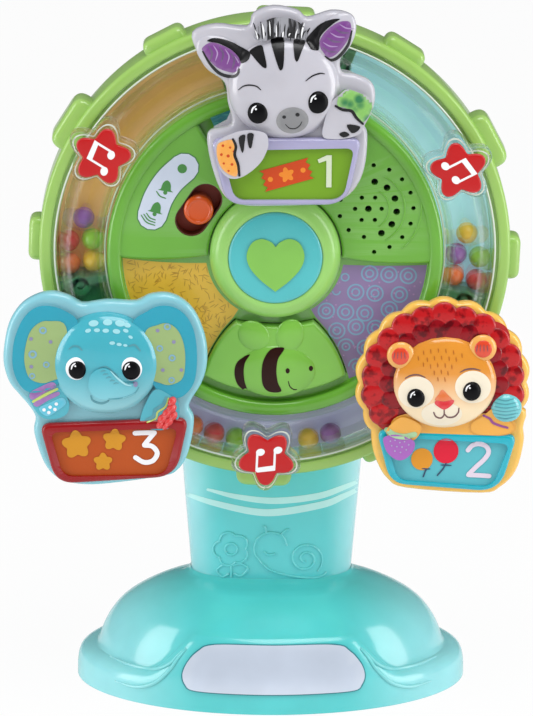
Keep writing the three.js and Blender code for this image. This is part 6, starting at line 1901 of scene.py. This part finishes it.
def doorLoop(grow):
    w, h = housing["doorWidth"] / 2 + grow, housing["doorHeight"] / 2 + grow
    corners = [(-w, -h), (w, -h), (w, h), (-w, h)]
    return onAxis(shifted(roundedCorners(corners, [2.4 + grow] * 4), 0, -housing["doorDrop"]))


def makeHousing():
    h = housing
    back, inside = h["back"], h["radius"] - h["wall"]
    x, z = axisX, axisZ + h["screwRise"]

    def outside(name, mesh, sharpAngle=40, node=None, finish="limeHousing"):
        asPiece(name, mesh, finish, "stand", sharpAngle, node)

    shell = spunMesh("shell", roundedProfile([
        (0, back), (h["radius"], back, 7), (h["radius"], h["front"], 0.4), (inside, h["front"], 0.4),
        (inside, h["inner"], 5), (0, h["inner"])], 8), 160)
    shell = carved(shell,
                   plateMesh("doorRoom", [doorLoop(h["gap"])], 30, back - h["doorThickness"] - h["gap"]))
    shell = carved(shell, plateMesh("bayRoom", [onAxis(h["bay"])], 30, 10))
    outside("rearHousing", shell, 40, "rear_housing")
    for k in range(3):
        middle = 46.8 + 7 * k
        groove = [(middle - 0.8, back - 0.2), (middle, back + 0.35), (middle + 0.8, back - 0.2)]
        outside("housingRing%d" % k, spunMesh("ring", groove, 120), 60)

    room = h["screwRadius"] + h["gap"]
    door = plateMesh("door", [doorLoop(0)], back, back - h["doorThickness"], 0.5, 3)
    door = carved(door, spunMesh("screwRoom", [(0, 30), (room, 30), (room, 10), (0, 10)], 32, x, z))
    outside("batteryDoor", door, 40, "battery_door")
    grips = []
    for k in range(4):
        low = -22.6 + 1.9 * k
        bar = [(-9, low), (9, low), (9, low + 0.8), (-9, low + 0.8)]
        grips.append(plateMesh("grip", [onAxis(bar)], back + 0.5, back - 0.3, 0.2, 2))
    outside("doorGrips", joined("doorGrips", grips))
    screw = spunMesh("screw", roundedProfile([
        (0, back - 0.3), (h["screwRadius"], back - 0.3, 0.5), (h["screwRadius"], back - 2.2),
        (1.3, back - 2.3), (1.3, back - 5.2), (0, back - 5.2)]), 32, x, z)
    arm = [(-1.7, -0.35), (1.7, -0.35), (1.7, 0.35), (-1.7, 0.35)]
    for turn in (20, 110):
        screw = carved(screw, plateMesh("cross", [turnedOutline(arm, x, z, turn)], back + 2, back - 1.3))
    outside("doorScrew", screw, 35, "battery_door_screw", "steel")


# Pieces that keep their CAD shape: finishes by node
keptFinishes = {"base_cover": "aquaDeep", "suction_cup": "cupRubber", "battery_upper": "cell",
                "battery_lower": "cell", "main_board": "board", "speaker": "black", "spin_sensor": "black",
                "volume_switch": "black", "bee_rubber_pad": "pad", "zebra_back_cover": "zebraWhite",
                "elephant_back_cover": "elephantBorder", "lion_back_cover": "lionBorder",
                "zebra_pin": "white", "elephant_pin": "white", "lion_pin": "white"}


def dressKept():
    for node, finish in keptFinishes.items():
        mesh = frame["nodes"][node].data
        mesh.materials.clear()
        mesh.materials.append(finishes[finish])


makeLabel()
makeFolds()
makeNeckPictures()
makeHousing()
dressKept()
print("base, neck and back dressed")
